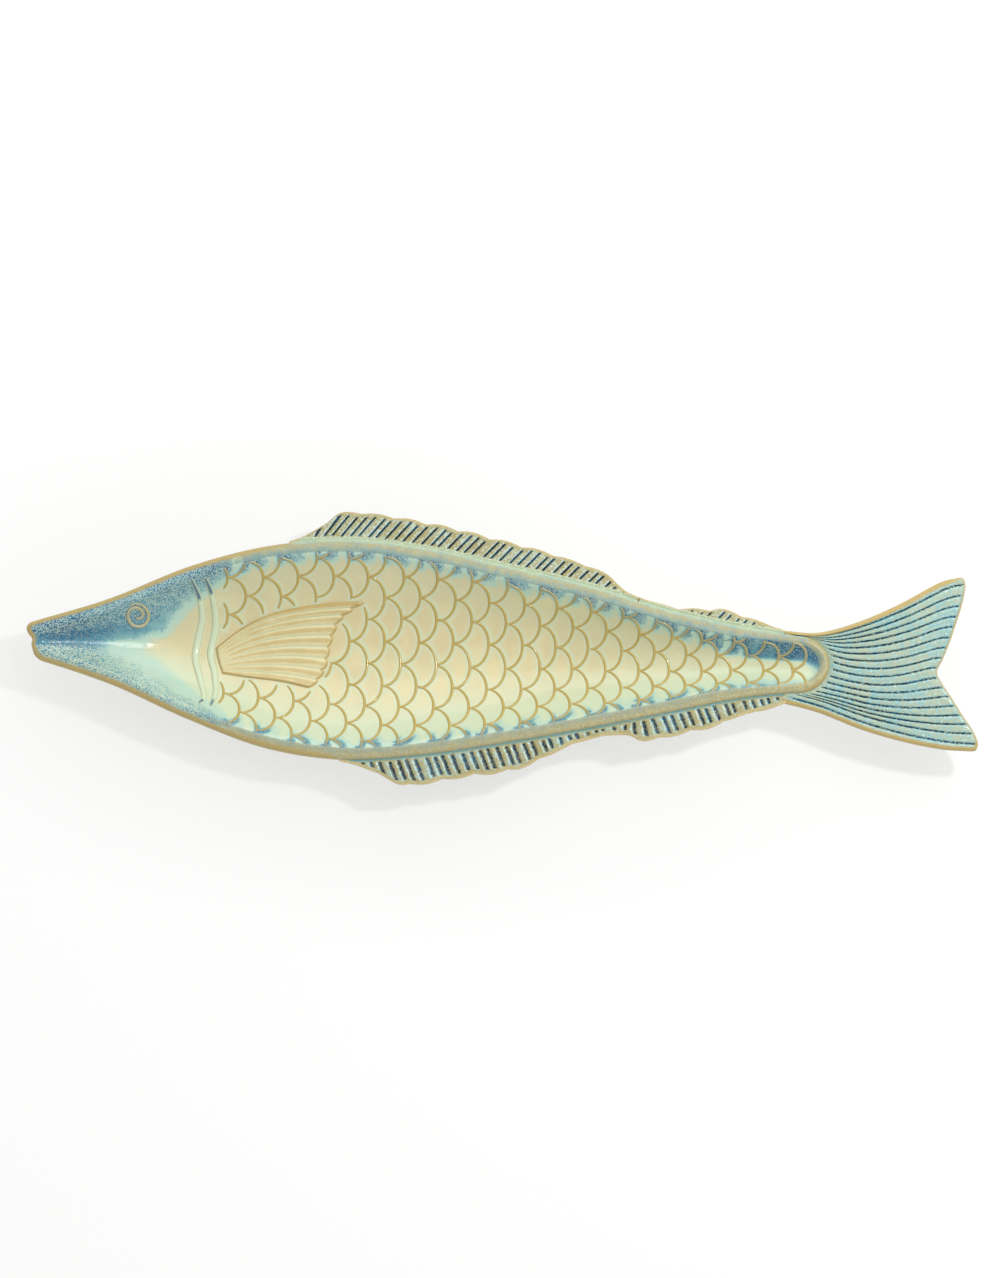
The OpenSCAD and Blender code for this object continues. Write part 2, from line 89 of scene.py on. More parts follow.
def table_value(x: Array, table: Shares) -> Array:
    """Smooth value of a table of places and heights.

    Args:
        x: Places to read.
        table: Pairs of place and height, in order.

    Returns:
        The heights at x.
    """
    xs, ys = np.array(table, float).T
    order, last = np.arange(len(xs)), len(xs) - 1
    low, high = np.maximum(order - 1, 0), np.minimum(order + 1, last)
    slope = (ys[high] - ys[low]) / (xs[high] - xs[low])
    x = np.asarray(x, float)
    i = np.clip(np.searchsorted(xs, x, side="left") - 1, 0, last - 1)
    span = xs[i + 1] - xs[i]
    return cubic(ys[i], ys[i + 1], span * slope[i], span * slope[i + 1], (x - xs[i]) / span)


def spline(t: Array, points: Any) -> Array:
    """Points of a smooth line through given points.

    Args:
        t: Shares of the line, of any shape.
        points: The points that it passes, each with two numbers.

    Returns:
        Points, with one more axis than t.
    """
    p = np.array(points, float)
    last = len(p) - 1
    x = np.asarray(t, float) * last
    i = np.clip(np.floor(np.clip(x, 0, last)).astype(int), 0, last - 1)
    a, b = p[i], p[i + 1]
    slope_a = np.where((i > 0)[..., None], (b - p[np.maximum(i - 1, 0)]) / 2, b - a)
    slope_b = np.where((i < last - 1)[..., None], (p[np.minimum(i + 2, last)] - a) / 2, b - a)
    return cubic(a, b, slope_a, slope_b, (x - i)[..., None])


def even_line(points: Any) -> Line:
    """Smooth line through points, which is read by shares of its length."""
    dense = spline(np.linspace(0, 1, 800), points)
    way = np.concatenate([[0], np.cumsum(np.linalg.norm(np.diff(dense, axis=0), axis=1))])
    return lambda t: np.stack([np.interp(t, way / way[-1], dense[:, k]) for k in (0, 1)], -1)


def share_points(shares: Shares, start: float, length: float, up: float, down: float) -> Any:
    """Points given as shares of a length from a start, and of a height above or below the spine."""
    return [(start + x * length, y * (up if y > 0 else down)) for x, y in shares]


def dense_line(corners: Array, step: float, closed: bool) -> Array:
    """Points along a line of straight pieces.

    Args:
        corners: Corners of the line, which are kept.
        step: Longest distance between points.
        closed: Whether the last corner joins the first.

    Returns:
        The points, one to a row.
    """
    ends = np.roll(corners, -1, 0) if closed else corners[1:]
    out = []
    for a, b in zip(corners, ends):
        count = max(1, math.ceil(float(np.linalg.norm(b - a)) / step))
        out.append(a + (b - a) * (np.arange(count) / count)[:, None])
    return np.concatenate(out + ([] if closed else [corners[-1:]]))


def ease(low: float, high: float, x: Array) -> Array:
    """Smooth step that goes from 0 at low to 1 at high, and may run backwards."""
    t = np.clip((x - low) / (high - low), 0, 1)
    return t * t * (3 - 2 * t)


def smooth_min(a: Array, b: Array, radius: float) -> Array:
    """The lower of two surfaces, with their crossing rounded."""
    h = np.clip(0.5 + 0.5 * (a - b) / radius, 0, 1)
    return a * (1 - h) + b * h - radius * h * (1 - h)


def fillet(distance: Array, radius: float) -> Array:
    """Drop of a rounded edge at a distance from it."""
    d = np.clip(distance, 0, radius)
    return radius - np.sqrt(np.maximum(radius ** 2 - (radius - d) ** 2, 0))


def coons(s: Array, a: Array, top: Line, low: Line, root: Line, tip: Line) -> Array:
    """Points of the patch between four edges.

    Args:
        s: Shares from root to tip.
        a: Shares from the top edge to the low edge.
        top: Top edge, from root to tip.
        low: Low edge, from root to tip.
        root: Root, from top to low.
        tip: Trailing edge, from top to low.

    Returns:
        Points in the spine's plane.
    """
    zero, one = np.zeros_like(s), np.ones_like(s)
    across, along = a[..., None], s[..., None]
    between = top(s) * (1 - across) + low(s) * across
    outward = root(a) * (1 - along) + tip(a) * along
    corners = ((top(zero) * (1 - across) + low(zero) * across) * (1 - along)
               + (top(one) * (1 - across) + low(one) * across) * along)
    return between + outward - corners


class NearestPoint:
    """Finds the nearest of many points in a plane."""

    def __init__(self, points: Array) -> None:
        """Sorts the points."""
        self.tree = KDTree(len(points))
        for i, (x, y) in enumerate(points):
            self.tree.insert((x, y, 0), i)
        self.tree.balance()

    def find(self, points: Array) -> tuple[Array, Array]:
        """Distances to the nearest points, and their indices."""
        hits = [self.tree.find((x, y, 0)) for x, y in points.reshape(-1, 2)]
        distance, index = (np.array([hit[k] for hit in hits]).reshape(points.shape[:-1]) for k in (2, 1))
        return distance, index


def inside(points: Array, outline: Array) -> Array:
    """Whether points lie inside a closed outline."""
    a, b = outline, np.roll(outline, -1, 0)
    y = points[:, 1, None]
    crosses = (a[None, :, 1] > y) != (b[None, :, 1] > y)
    rise = np.where(b[:, 1] == a[:, 1], 1e-9, b[:, 1] - a[:, 1])
    at = a[None, :, 0] + (b[:, 0] - a[:, 0]) * (y - a[None, :, 1]) / rise
    return (crosses & (points[:, 0, None] < at)).sum(1) % 2 == 1


def longest_run(kept: Array) -> tuple[int, int]:
    """First index, and the index past the last, of the longest run of true values."""
    best, start = (0, 0), None
    for i, value in enumerate(list(kept) + [False]):
        if value and start is None:
            start = i
        if not value and start is not None:
            best = max(best, (start, i), key=lambda run: run[1] - run[0])
            start = None
    return best


def to_row(u: Array, v: Array, z: Array) -> Array:
    """Points of the spine frame, in millimetres, as points of the row frame, in metres."""
    return np.stack([u - SPINE_ORIGIN[0], v - SPINE_ORIGIN[1], z], -1) * MM


def grid_faces(rows: int, columns: int, first: int = 0) -> list[tuple[int, ...]]:
    """Four-sided faces of a grid of points that starts at an index."""
    corners = [first + i * columns + j for i in range(rows - 1) for j in range(columns - 1)]
    return [(a, a + columns, a + columns + 1, a + 1) for a in corners]


def grid_border(rows: int, columns: int) -> list[int]:
    """Indices round the border of a grid, in order."""
    top = list(range(columns))
    right = [i * columns + columns - 1 for i in range(1, rows)]
    low = [(rows - 1) * columns + j for j in range(columns - 2, -1, -1)]
    left = [i * columns for i in range(rows - 2, 0, -1)]
    return top + right + low + left


def linked(name: str, data: bpy.types.ID) -> bpy.types.Object:
    """New object of the scene."""
    made = bpy.data.objects.new(name, data)
    bpy.context.scene.collection.objects.link(made)
    return made


def slab(name: str, top: Array, under: Array, values: dict[str, Array], stride: int = 1) -> bpy.types.Object:
    """Closed solid between two grids of points with the same plan.

    Args:
        name: Name of the piece.
        top: Upper grid, rows by columns by three, in the row frame.
        under: Lower grid of the same shape.
        values: Numbers for each point of the upper grid, by attribute name.
        stride: Rows and columns of the lower grid that one of its faces spans.

    Returns:
        The piece.
    """
    coarse = under[::stride, ::stride]
    many, few = top.shape[:2], coarse.shape[:2]
    count = many[0] * many[1]
    faces = grid_faces(*many) + [face[::-1] for face in grid_faces(*few, count)]
    upper, lower = grid_border(*many), grid_border(*few)
    ring = upper + upper[:1]
    for k, a in enumerate(lower):
        b = lower[(k + 1) % len(lower)]
        faces.append((*ring[k * stride:(k + 1) * stride + 1], b + count, a + count))
    piece = mesh_piece(name, np.concatenate([top.reshape(-1, 3), coarse.reshape(-1, 3)]), faces)
    for key, numbers in values.items():
        full = np.asarray(numbers, float)
        store(piece.data, key, np.concatenate([full.reshape(-1), full[::stride, ::stride].reshape(-1)]))
    store(piece.data, "under", np.concatenate([np.zeros(count), np.ones(few[0] * few[1])]))
    return piece


def mesh_piece(name: str, points: Array, faces: list[tuple[int, ...]]) -> bpy.types.Object:
    """Smooth mesh object with its faces turned outwards.

    Args:
        name: Name of the piece.
        points: Points in the row frame.
        faces: Faces as indices of points.

    Returns:
        The object, linked to the scene.
    """
    mesh = bpy.data.meshes.new(name)
    mesh.from_pydata(points.tolist(), [], faces)
    face_outwards(mesh)
    return linked(name, mesh)


def face_outwards(mesh: bpy.types.Mesh) -> None:
    """Turns the faces of closed shells outwards and makes them smooth."""
    work = bmesh.new()
    work.from_mesh(mesh)
    bmesh.ops.recalc_face_normals(work, faces=work.faces)
    for face in work.faces:
        face.smooth = True
    work.to_mesh(mesh)
    work.free()


def store(mesh: bpy.types.Mesh, name: str, numbers: Array) -> None:
    """Keeps one number, or one vector, for each point of a mesh."""
    vector = numbers.ndim == 2
    layer = mesh.attributes.new(name, "FLOAT_VECTOR" if vector else "FLOAT", "POINT")
    layer.data.foreach_set("vector" if vector else "value", numbers.astype(np.float32).ravel())


@dataclass(frozen=True)
class Spine:
    """Plan and heights of the dish along the spine, in millimetres."""

    length: float = 470
    back_height: float = 66
    belly_height: float = 63.5
    well_depth: float = 27
    wall: float = 5.5
    rim_band: float = 7
    end_band: float = 4
    band_fade: tuple[float, float] = (400, 455)
    band_limit: float = 0.45
    rim_drop: float = 2
    end_round: float = 16
    mouth_lean: float = 7
    mouth_fade: float = 45
    head_climb: float = 122
    tail_climb: float = 170
    climb_power: float = 1.25
    foot_height: float = 4
    back_shares: Shares = ((0, 0.153), (0.1, 0.416), (0.2, 0.731), (0.3, 0.935), (0.4, 1), (0.5, 0.937),
                           (0.6, 0.802), (0.7, 0.658), (0.8, 0.466), (0.9, 0.332), (1, 0.26))
    belly_shares: Shares = ((0, 0.163), (0.1, 0.367), (0.2, 0.671), (0.3, 0.918), (0.4, 1), (0.5, 0.928),
                            (0.6, 0.793), (0.7, 0.636), (0.8, 0.464), (0.9, 0.296), (1, 0.209))

    @property
    def rim(self) -> float:
        """Height of the rim's crest."""
        return self.foot_height + self.wall + self.well_depth

    @property
    def edge_top(self) -> float:
        """Height of the rim's outer edge."""
        return self.rim - self.rim_drop

    def back(self, u: Array) -> Array:
        """Outline of the back."""
        return self.back_height * table_value(u / self.length, self.back_shares)

    def belly(self, u: Array) -> Array:
        """Outline of the belly, as a height below the spine line."""
        return self.belly_height * table_value(u / self.length, self.belly_shares)

    def middle(self, u: Array) -> Array:
        """Middle between back and belly."""
        return (self.back(u) - self.belly(u)) / 2

    def half(self, u: Array) -> Array:
        """Half of the width of the dish."""
        end = np.maximum(0, (u - self.length) / self.end_round + 1)
        return np.sqrt(np.maximum(1 - end ** 2, 0)) * (self.back(u) + self.belly(u)) / 2

    def band(self, u: Array) -> Array:
        """Width of the rim's band, which narrows at the tail."""
        return self.rim_band + (self.end_band - self.rim_band) * ease(*self.band_fade, u)

    def inner(self, u: Array) -> Array:
        """Half of the width of the well."""
        half = self.half(u)
        return half - np.minimum(self.band(u), self.band_limit * half)

    def rim_y(self, u: Array, side: Side) -> Array:
        """Outer edge of the rim on one side."""
        return self.middle(u) + side.value * self.half(u)

    def lean(self, u: Array) -> Array:
        """Slant of the mouth."""
        return self.mouth_lean / 2 * (1 - ease(0, self.mouth_fade, u))

    def climb(self, t: Array) -> Array:
        """Climb of the floor towards an end."""
        return 1 - (1 - np.clip(t, 0, 1)) ** self.climb_power

    def depth(self, u: Array) -> Array:
        """Depth of the well below the rim."""
        return (self.well_depth * self.climb(u / self.head_climb)
                * self.climb((self.length - u) / self.tail_climb))


class ReliefField:
    """Raised lines of the well, as places that the glaze and the clay answer to."""

    inner_lift, inner_fade = 0.42, 2.6
    outer_drop, outer_fade = 0.3, 2.0

    def __init__(self, scales: list[Array], others: list[Array]) -> None:
        """Gathers the lines.

        Args:
            scales: Edges of the scales, each from the belly to the back.
            others: Lines with no inner side.
        """
        points, ways, weights = [], [], []
        for line in scales + others:
            fine = dense_line(line, 0.4, False)
            points.append(fine)
            ways.append(np.gradient(fine, axis=0))
            share = np.linspace(0, 1, len(fine))
            weights.append(np.sin(np.pi * share) ** 0.5 if len(points) <= len(scales) else 0 * share)
        self.points, self.ways = np.concatenate(points), np.concatenate(ways)
        self.weights = np.concatenate(weights)
        self.near = NearestPoint(self.points)

    def read(self, u: Array, v: Array) -> tuple[Array, Array, Array]:
        """Distance from the nearest line, and the lift of the scale there.

        Args:
            u: Places along the body.
            v: Places across it.

        Returns:
            Distances, whether a place is within the scale of that line, and lifts in millimetres.
        """
        at = np.stack([u, v], -1)
        distance, index = self.near.find(at)
        off, way = at - self.points[index], self.ways[index]
        within = (way[..., 0] * off[..., 1] - way[..., 1] * off[..., 0]) > 0
        weight = self.weights[index]
        lift = np.where(within, self.inner_lift * np.exp(-distance / self.inner_fade),
                        -self.outer_drop * np.exp(-distance / self.outer_fade))
        return distance, within & (weight > 0), lift * weight


@dataclass(frozen=True)
class GlazeFlow:
    """Where the blue of the glaze gathered, as distances from the rim along the body."""

    spine: Spine
    seam: float = 7
    back_reach: Shares = ((0, 40), (35, 38), (50, 28), (62, 30), (75, 26), (95, 16), (120, 12),
                          (200, 11.5), (300, 11.5), (380, 13), (420, 17), (470, 17))
    belly_reach: Shares = ((0, 40), (30, 30), (45, 20), (60, 19), (75, 16), (105, 11), (120, 12),
                           (200, 12), (300, 12), (400, 11), (450, 6), (470, 4))
    back_strength: Shares = ((0, 0.75), (25, 0.85), (50, 0.55), (80, 0.6), (120, 0.95), (200, 1.0),
                             (300, 1.0), (360, 0.95), (410, 0.95), (470, 0.95))
    belly_strength: Shares = ((0, 0.65), (25, 0.5), (60, 0.35), (90, 0.4), (120, 0.55), (200, 0.6),
                              (300, 0.6), (400, 0.5), (470, 0))
    gold_width: Shares = ((0, 2.4), (60, 2.8), (120, 2.6), (148, 1.6), (162, -1.5), (300, -1.5),
                          (446, -1.5), (458, 1.0), (470, 1.2))
    belly_gold_width: Shares = ((0, 2.6), (50, 3.2), (120, 3.0), (176, 2.4), (192, -1.5), (300, -1.5),
                                (446, -1.5), (458, 1.8), (470, 1.2))

    def upper(self, u: Array, v: Array) -> Array:
        """Whether a place is on the side of the back, with a soft seam."""
        return ease(-self.seam, self.seam, v - self.spine.middle(u))

    def by_side(self, u: Array, v: Array, back: Shares, belly: Shares) -> Array:
        """Blend of a table for the back and a table for the belly."""
        upper = self.upper(u, v)
        return table_value(u, back) * upper + table_value(u, belly) * (1 - upper)

    def blue(self, u: Array, v: Array, distance: Array, within: Array, ridge: Array) -> Array:
        """How much blue glaze lies at a place.

        Args:
            u: Places along the body.
            v: Places across it.
            distance: Distances from the edge of the dish.
            within: How far within a scale the places are, where less blue stayed.
            ridge: Distances from the nearest raised line, by which it gathered on the belly side.

        Returns:
            Shares from 0 to 1.
        """
        soft = 34 - 26 * ease(70, 125, u)
        reach = self.by_side(u, v, self.back_reach, self.belly_reach)
        pool = ease(1, 0, (distance - reach + soft / 2) / soft)
        upper, scaled = self.upper(u, v), ease(105, 122, u) * ease(450, 400, u)
        kept_out = (0.85 - 0.1 * upper) * scaled
        spread = (0.8 - 0.35 * upper) * scaled * ease(1.2, 4.2, ridge)
        return pool * (1 - kept_out * within) * (1 - spread)

    def navy(self, u: Array, v: Array) -> Array:
        """How dark the blue is at a place, from 0 to 1."""
        return self.by_side(u, v, self.back_strength, self.belly_strength)

    def fleck(self, u: Array, v: Array) -> Array:
        """Share of pale flecks in the blue, none of them in the middle of the snout."""
        s = self.spine
        off = (v - s.middle(u)) / np.maximum(s.inner(u), LEAST_HALF)
        back, belly = 0.55 - 0.35 * ease(370, 430, u), 0.75 - 0.6 * ease(95, 130, u)
        return np.where(off > 0, back * ease(0.2, 0.8, off), belly * ease(-0.05, -0.5, off))

    def gold(self, u: Array, v: Array) -> Array:
        """Width of the bare ochre edge of the rim, below 0 where a fin covers it."""
        return self.by_side(u, v, self.gold_width, self.belly_gold_width)

    def band(self, u: Array, distance: Array) -> Array:
        """Whether a place is on the sandy band of the rim, which starts behind the head."""
        width = self.spine.band(u) + 2 * ease(425, 460, u)
        return ease(1, -1, distance - width) * ease(70, 150, u)


@dataclass
class Dish:
    """The trough of the platter with its round rim."""

    spine: Spine
    edge_radius: float = 2.0
    lip_radius: float = 2.4
    mouth_round: float = 4
    flat_share: float = 0.4
    under_power: float = 1.05
    notch_depth: float = 1.6
    notch_place: float = 1.5
    notch_width: float = 2.4
    notch_reach: float = 5
    end_pool: float = 4.0
    least_wall: float = 2
    crest_gap: float = 0.02
    columns: int = 151
    mouth_rows: int = 10
    body_rows: int = 297
    end_rows: int = 26
    under_stride: int = 3
    rim_near: NearestPoint = field(init=False)

    def __post_init__(self) -> None:
        """Sorts the points of the rim's outer edge."""
        u, v = self.plan()
        corners = np.stack([self.lean_x(u, v), v], -1).reshape(-1, 2)[grid_border(*u.shape)]
        self.rim_near = NearestPoint(dense_line(corners, 0.25, True))

    def plan(self) -> tuple[Array, Array]:
        """Grid of places over the dish, from the snout to the tail and from the belly to the back."""
        s, start = self.spine, self.spine.length - self.spine.end_round
        mouth = self.mouth_round * (1 - np.cos(np.linspace(0, math.pi / 2, self.mouth_rows)))
        end = np.sin(np.linspace(0, math.pi / 2, self.end_rows)[1:])
        rows = np.concatenate([mouth, np.linspace(self.mouth_round, start, self.body_rows)[1:],
                               start + s.end_round * np.minimum(end, 0.9995)])
        share = np.linspace(-1, 1, self.columns)
        across = 0.5 * share + 0.5 * np.sin(share * math.pi / 2)
        u = np.repeat(rows[:, None], self.columns, 1)
        corner = np.clip(1 - u / self.mouth_round, 0, 1)
        half = s.half(u) - self.mouth_round * (1 - np.sqrt(1 - corner ** 2))
        return u, s.middle(u) + across[None] * half

    def lean_x(self, u: Array, v: Array) -> Array:
        """Place along the body with the slant of the mouth and the notch between the lips."""
        s = self.spine
        off = (v - self.notch_place) / self.notch_width
        notch = self.notch_depth * np.exp(-off ** 2 - u / self.notch_reach)
        return u - s.lean(u) * (v - s.middle(u)) / np.maximum(s.half(u), 0.1) + notch

    def edge_distance(self, u: Array, v: Array) -> Array:
        """Distance of places from the rim's outer edge."""
        return self.rim_near.find(np.stack([self.lean_x(u, v), v], -1))[0]

    def top(self, u: Array, v: Array, distance: Array) -> Array:
        """Height of the glazed upper side.

        Args:
            u: Places along the body.
            v: Places across it.
            distance: Distance of the places from the rim's outer edge.

        Returns:
            Heights above the table.
        """
        s = self.spine
        pool = self.end_pool * ease(395, 440, u) * ease(469, 459, u)
        across = np.abs(v - s.middle(u)) / np.maximum(s.inner(u), LEAST_HALF)
        well = s.rim + 0.5 - (s.depth(u) + pool + 0.5) * (1 - across ** 2)
        fall = s.rim_drop * np.clip(1 - distance / s.rim_band, 0, 1) ** 1.5
        band = s.rim - fall - fillet(distance, self.edge_radius)
        return smooth_min(band, well, self.lip_radius)

    def under(self, u: Array, v: Array) -> Array:
        """Height of the underside, which is flat over the foot."""
        s = self.spine
        outer = s.inner(u) + np.minimum(s.wall, s.band_limit * s.half(u)) / 2
        across = np.abs(v - s.middle(u)) / np.maximum(outer, LEAST_HALF)
        rise = np.clip((across - self.flat_share) / (1 - self.flat_share), 0, 1) ** self.under_power
        bed = s.rim - s.depth(u)
        return bed + (s.edge_top - bed) * rise - s.wall

    def lay(self, u: Array, v: Array) -> tuple[Array, Array]:
        """Heights and directions of the glazed surface at places in the well."""
        step = 0.4
        near = [(0, 0), (step, 0), (-step, 0), (0, step), (0, -step)]
        z = [self.top(u + a, v + b, self.edge_distance(u + a, v + b)) for a, b in near]
        out = np.stack([(z[2] - z[1]) / (2 * step), (z[4] - z[3]) / (2 * step), np.ones_like(z[0])], -1)
        return z[0], out / np.linalg.norm(out, axis=-1, keepdims=True)

    def build(self, relief: ReliefField, flow: GlazeFlow) -> bpy.types.Object:
        """Makes the dish.

        Args:
            relief: Raised lines on it, by which scales swell and the glaze pools.
            flow: How the glaze ran.

        Returns:
            The piece.
        """
        u, v = self.plan()
        distance, x = self.edge_distance(u, v), self.lean_x(u, v)
        ridge, within, lift = relief.read(u, v)
        inner = within * ease(0, 2, ridge)
        high = self.top(u, v, distance)
        low = np.minimum(self.under(u, v), high - self.least_wall)
        high = np.minimum(high + lift * ease(6, 10, distance), self.spine.rim - self.crest_gap)
        return slab("dish_body", to_row(x, v, high), to_row(x, v, low), {
            "edge": distance, "ridge": ridge, "outer": 1.0 - within,
            "blue": flow.blue(u, v, distance, inner, ridge), "navy": flow.navy(u, v),
            "gold": flow.gold(u, v), "band": flow.band(u, distance),
            "fleck": flow.fleck(u, v), "back": ease(-12, 12, v - self.spine.middle(u)),
        }, self.under_stride)


@dataclass
class Pectoral:
    """The pectoral fin in relief on the floor of the well."""

    dish: Dish
    start: float = 112
    length: float = 84
    up: float = 32.5
    down: float = 21
    thickness: float = 1.9
    groove: float = 1.1
    sink: float = 0.5
    rays: int = 9
    ray_steps: int = 14
    rows: int = 73
    top_shares: Shares = ((-0.05, 0.05), (0.13, 0.43), (0.34, 0.705), (0.617, 0.875),
                          (0.896, 0.963), (0.995, 0.945))
    low_shares: Shares = ((0.004, -0.66), (0.214, -0.75), (0.425, -0.83), (0.637, -1))
    tip_shares: Shares = ((0.995, 0.945), (0.91, 0.79), (0.835, 0.62), (0.79, 0.37), (0.767, 0.13),
                          (0.755, -0.12), (0.744, -0.37), (0.7, -0.72), (0.637, -1))
    root_shares: Shares = ((-0.05, 0.05), (-0.03, -0.28), (0.004, -0.66))

    def edge(self, shares: Shares) -> Line:
        """Edge of the fin through points given as shares."""
        return even_line(share_points(shares, self.start, self.length, self.up, self.down))

    def outline(self) -> Array:
        """Closed outline of the fin."""
        t = np.linspace(0, 1, 24)
        return np.concatenate([self.edge(self.top_shares)(t), self.edge(self.tip_shares)(t[1:]),
                               self.edge(self.low_shares)(t[::-1][1:])])

    def build(self) -> bpy.types.Object:
        """Makes the fin, with round rays that end in the steps of its trailing edge."""
        a, s = np.meshgrid(np.linspace(0, 1, self.rays * self.ray_steps + 1), np.linspace(0, 1, self.rows))
        ray = a * self.rays
        within = ray - np.floor(np.clip(ray, 0, self.rays - 1e-6))
        length = 1 - 0.022 * (2 * within - 1) ** 4 * ease(0, 0.5, ray) - 0.02 * within
        p = coons(s * length, a, self.edge(self.top_shares), self.edge(self.low_shares),
                  self.edge(self.root_shares), self.edge(self.tip_shares))
        border = p.reshape(-1, 2)[grid_border(*s.shape)]
        rim = NearestPoint(dense_line(border, 0.2, True)).find(p)[0]
        crest = np.sin(np.pi * np.clip(within, 0, 1) ** 0.8)
        depth = self.groove * (0.5 + 0.5 * ease(0.05, 0.45, s)) * (1 - crest ** 0.7)
        depth = depth * ease(0.1, 0.9, ray) * ease(self.rays - 0.1, self.rays - 0.7, ray)
        lift = (self.thickness - depth) * ease(-0.4, 1.4, rim)
        u, v = p[..., 0], p[..., 1]
        height = self.dish.lay(u, v)[0]
        bold = np.maximum(ease(0.75, 0.3, ray), ease(self.rays - 0.45, self.rays - 0.15, ray))
        return slab("side_fin", to_row(u, v, height + lift), to_row(u, v, height - self.sink),
                    {"crest": crest, "bold": bold, "edge": rim})


@dataclass
class Fin:
    """A ribbed fin along the rim."""

    name: str
    node: str
    spine: Spine
    side: Side
    start: float
    stop: float
    height: float
    sweep: float
    groove_width: float
    shares: Shares
    seed: int
    border: float
    rib_pitch: float = 5.2
    groove_depth: float = 1.3
    wave_length: float = 19
    wave_start: float = 4
    wave_depth: float = 1.7
    thickness: float = 5.5
    edge_radius: float = 1.8
    rib_jitter: float = 0.16
    rib_steps: int = 14
    rows: int = 27
    root_rows: tuple[float, float] = (-1.4, -0.7)

    def reach(self, u: Array) -> Array:
        """Height of the fin's wavy edge above the rim."""
        x = np.clip((u - self.start) / (self.stop - self.start), 0, 1)
        wave = 1 - np.abs(np.sin(np.pi * (u - self.start - self.wave_start) / self.wave_length))
        return self.height * table_value(x, self.shares) - self.wave_depth * np.sin(np.pi * x) * wave

    def lengths(self, roots: Array, lean: Array) -> Array:
        """Length of the ribs that start at given places along the rim and lean back."""
        tries = np.linspace(0, self.height * 1.15, 600)
        u = roots[:, None] + tries[None] * lean[:, None]
        outside = (self.reach(u) < tries[None]) | (u > self.stop + 1e-6)
        first = np.where(outside.any(1), outside.argmax(1), len(tries)) - 1
        return np.maximum(tries[np.maximum(first, 0)], 0.3)

    def build(self) -> bpy.types.Object:
        """Makes the fin, with grooves between swept ribs and a round outer edge."""
        s, chance = self.spine, np.random.default_rng(self.seed)
        steps = self.rib_steps * int((self.stop - self.start) / self.rib_pitch)
        roots = np.linspace(self.start, self.stop, steps + 1)
        lean = math.tan(math.radians(self.sweep)) * ease(0, 22, roots - self.start)
        long = self.lengths(roots, lean)
        places = np.arange(self.start + 3, self.stop - 1.5, self.rib_pitch)
        places = places + chance.uniform(-self.rib_jitter, self.rib_jitter, len(places)) * self.rib_pitch
        nearest = np.abs(roots[:, None] - places[None]).argmin(1)
        off = roots - places[nearest]
        inset = chance.uniform(0, 1, (2, len(places)))[:, nearest][..., None]
        share = np.concatenate([self.root_rows, np.linspace(0, 1, self.rows)])
        h = np.where(share[None] < 0, share[None], share[None] * long[:, None])
        u = np.minimum(roots[:, None] + np.maximum(h, 0) * lean[:, None], self.stop)
        v = s.rim_y(u, self.side) + self.side.value * h
        rim = long[:, None] - h
        span = ease(0.4, 1.6, h - 1.2 * inset[0]) * ease(0, 1.2, rim - self.border - 1.1 * inset[1])
        groove = np.exp(-(off / self.groove_width) ** 2)[:, None] * span
        shore = np.exp(-((off + 1.25 * self.groove_width) / (0.8 * self.groove_width)) ** 2)[:, None] * span
        dip = 1.5 * np.exp(-((h - 0.1) / 1.1) ** 2)
        drop = fillet(rim, self.edge_radius)
        low = s.edge_top - self.thickness + 0.8 * drop + ROOT_LIFT * ease(0, self.root_rows[1], h)
        z = np.maximum(s.edge_top - FIN_DROP - self.groove_depth * groove - dip - drop, low + THINNEST)
        return slab(self.name, to_row(u, v, z), to_row(u, v, low), {
            "groove": groove, "shore": shore, "bare": self.border - rim, "root": h})


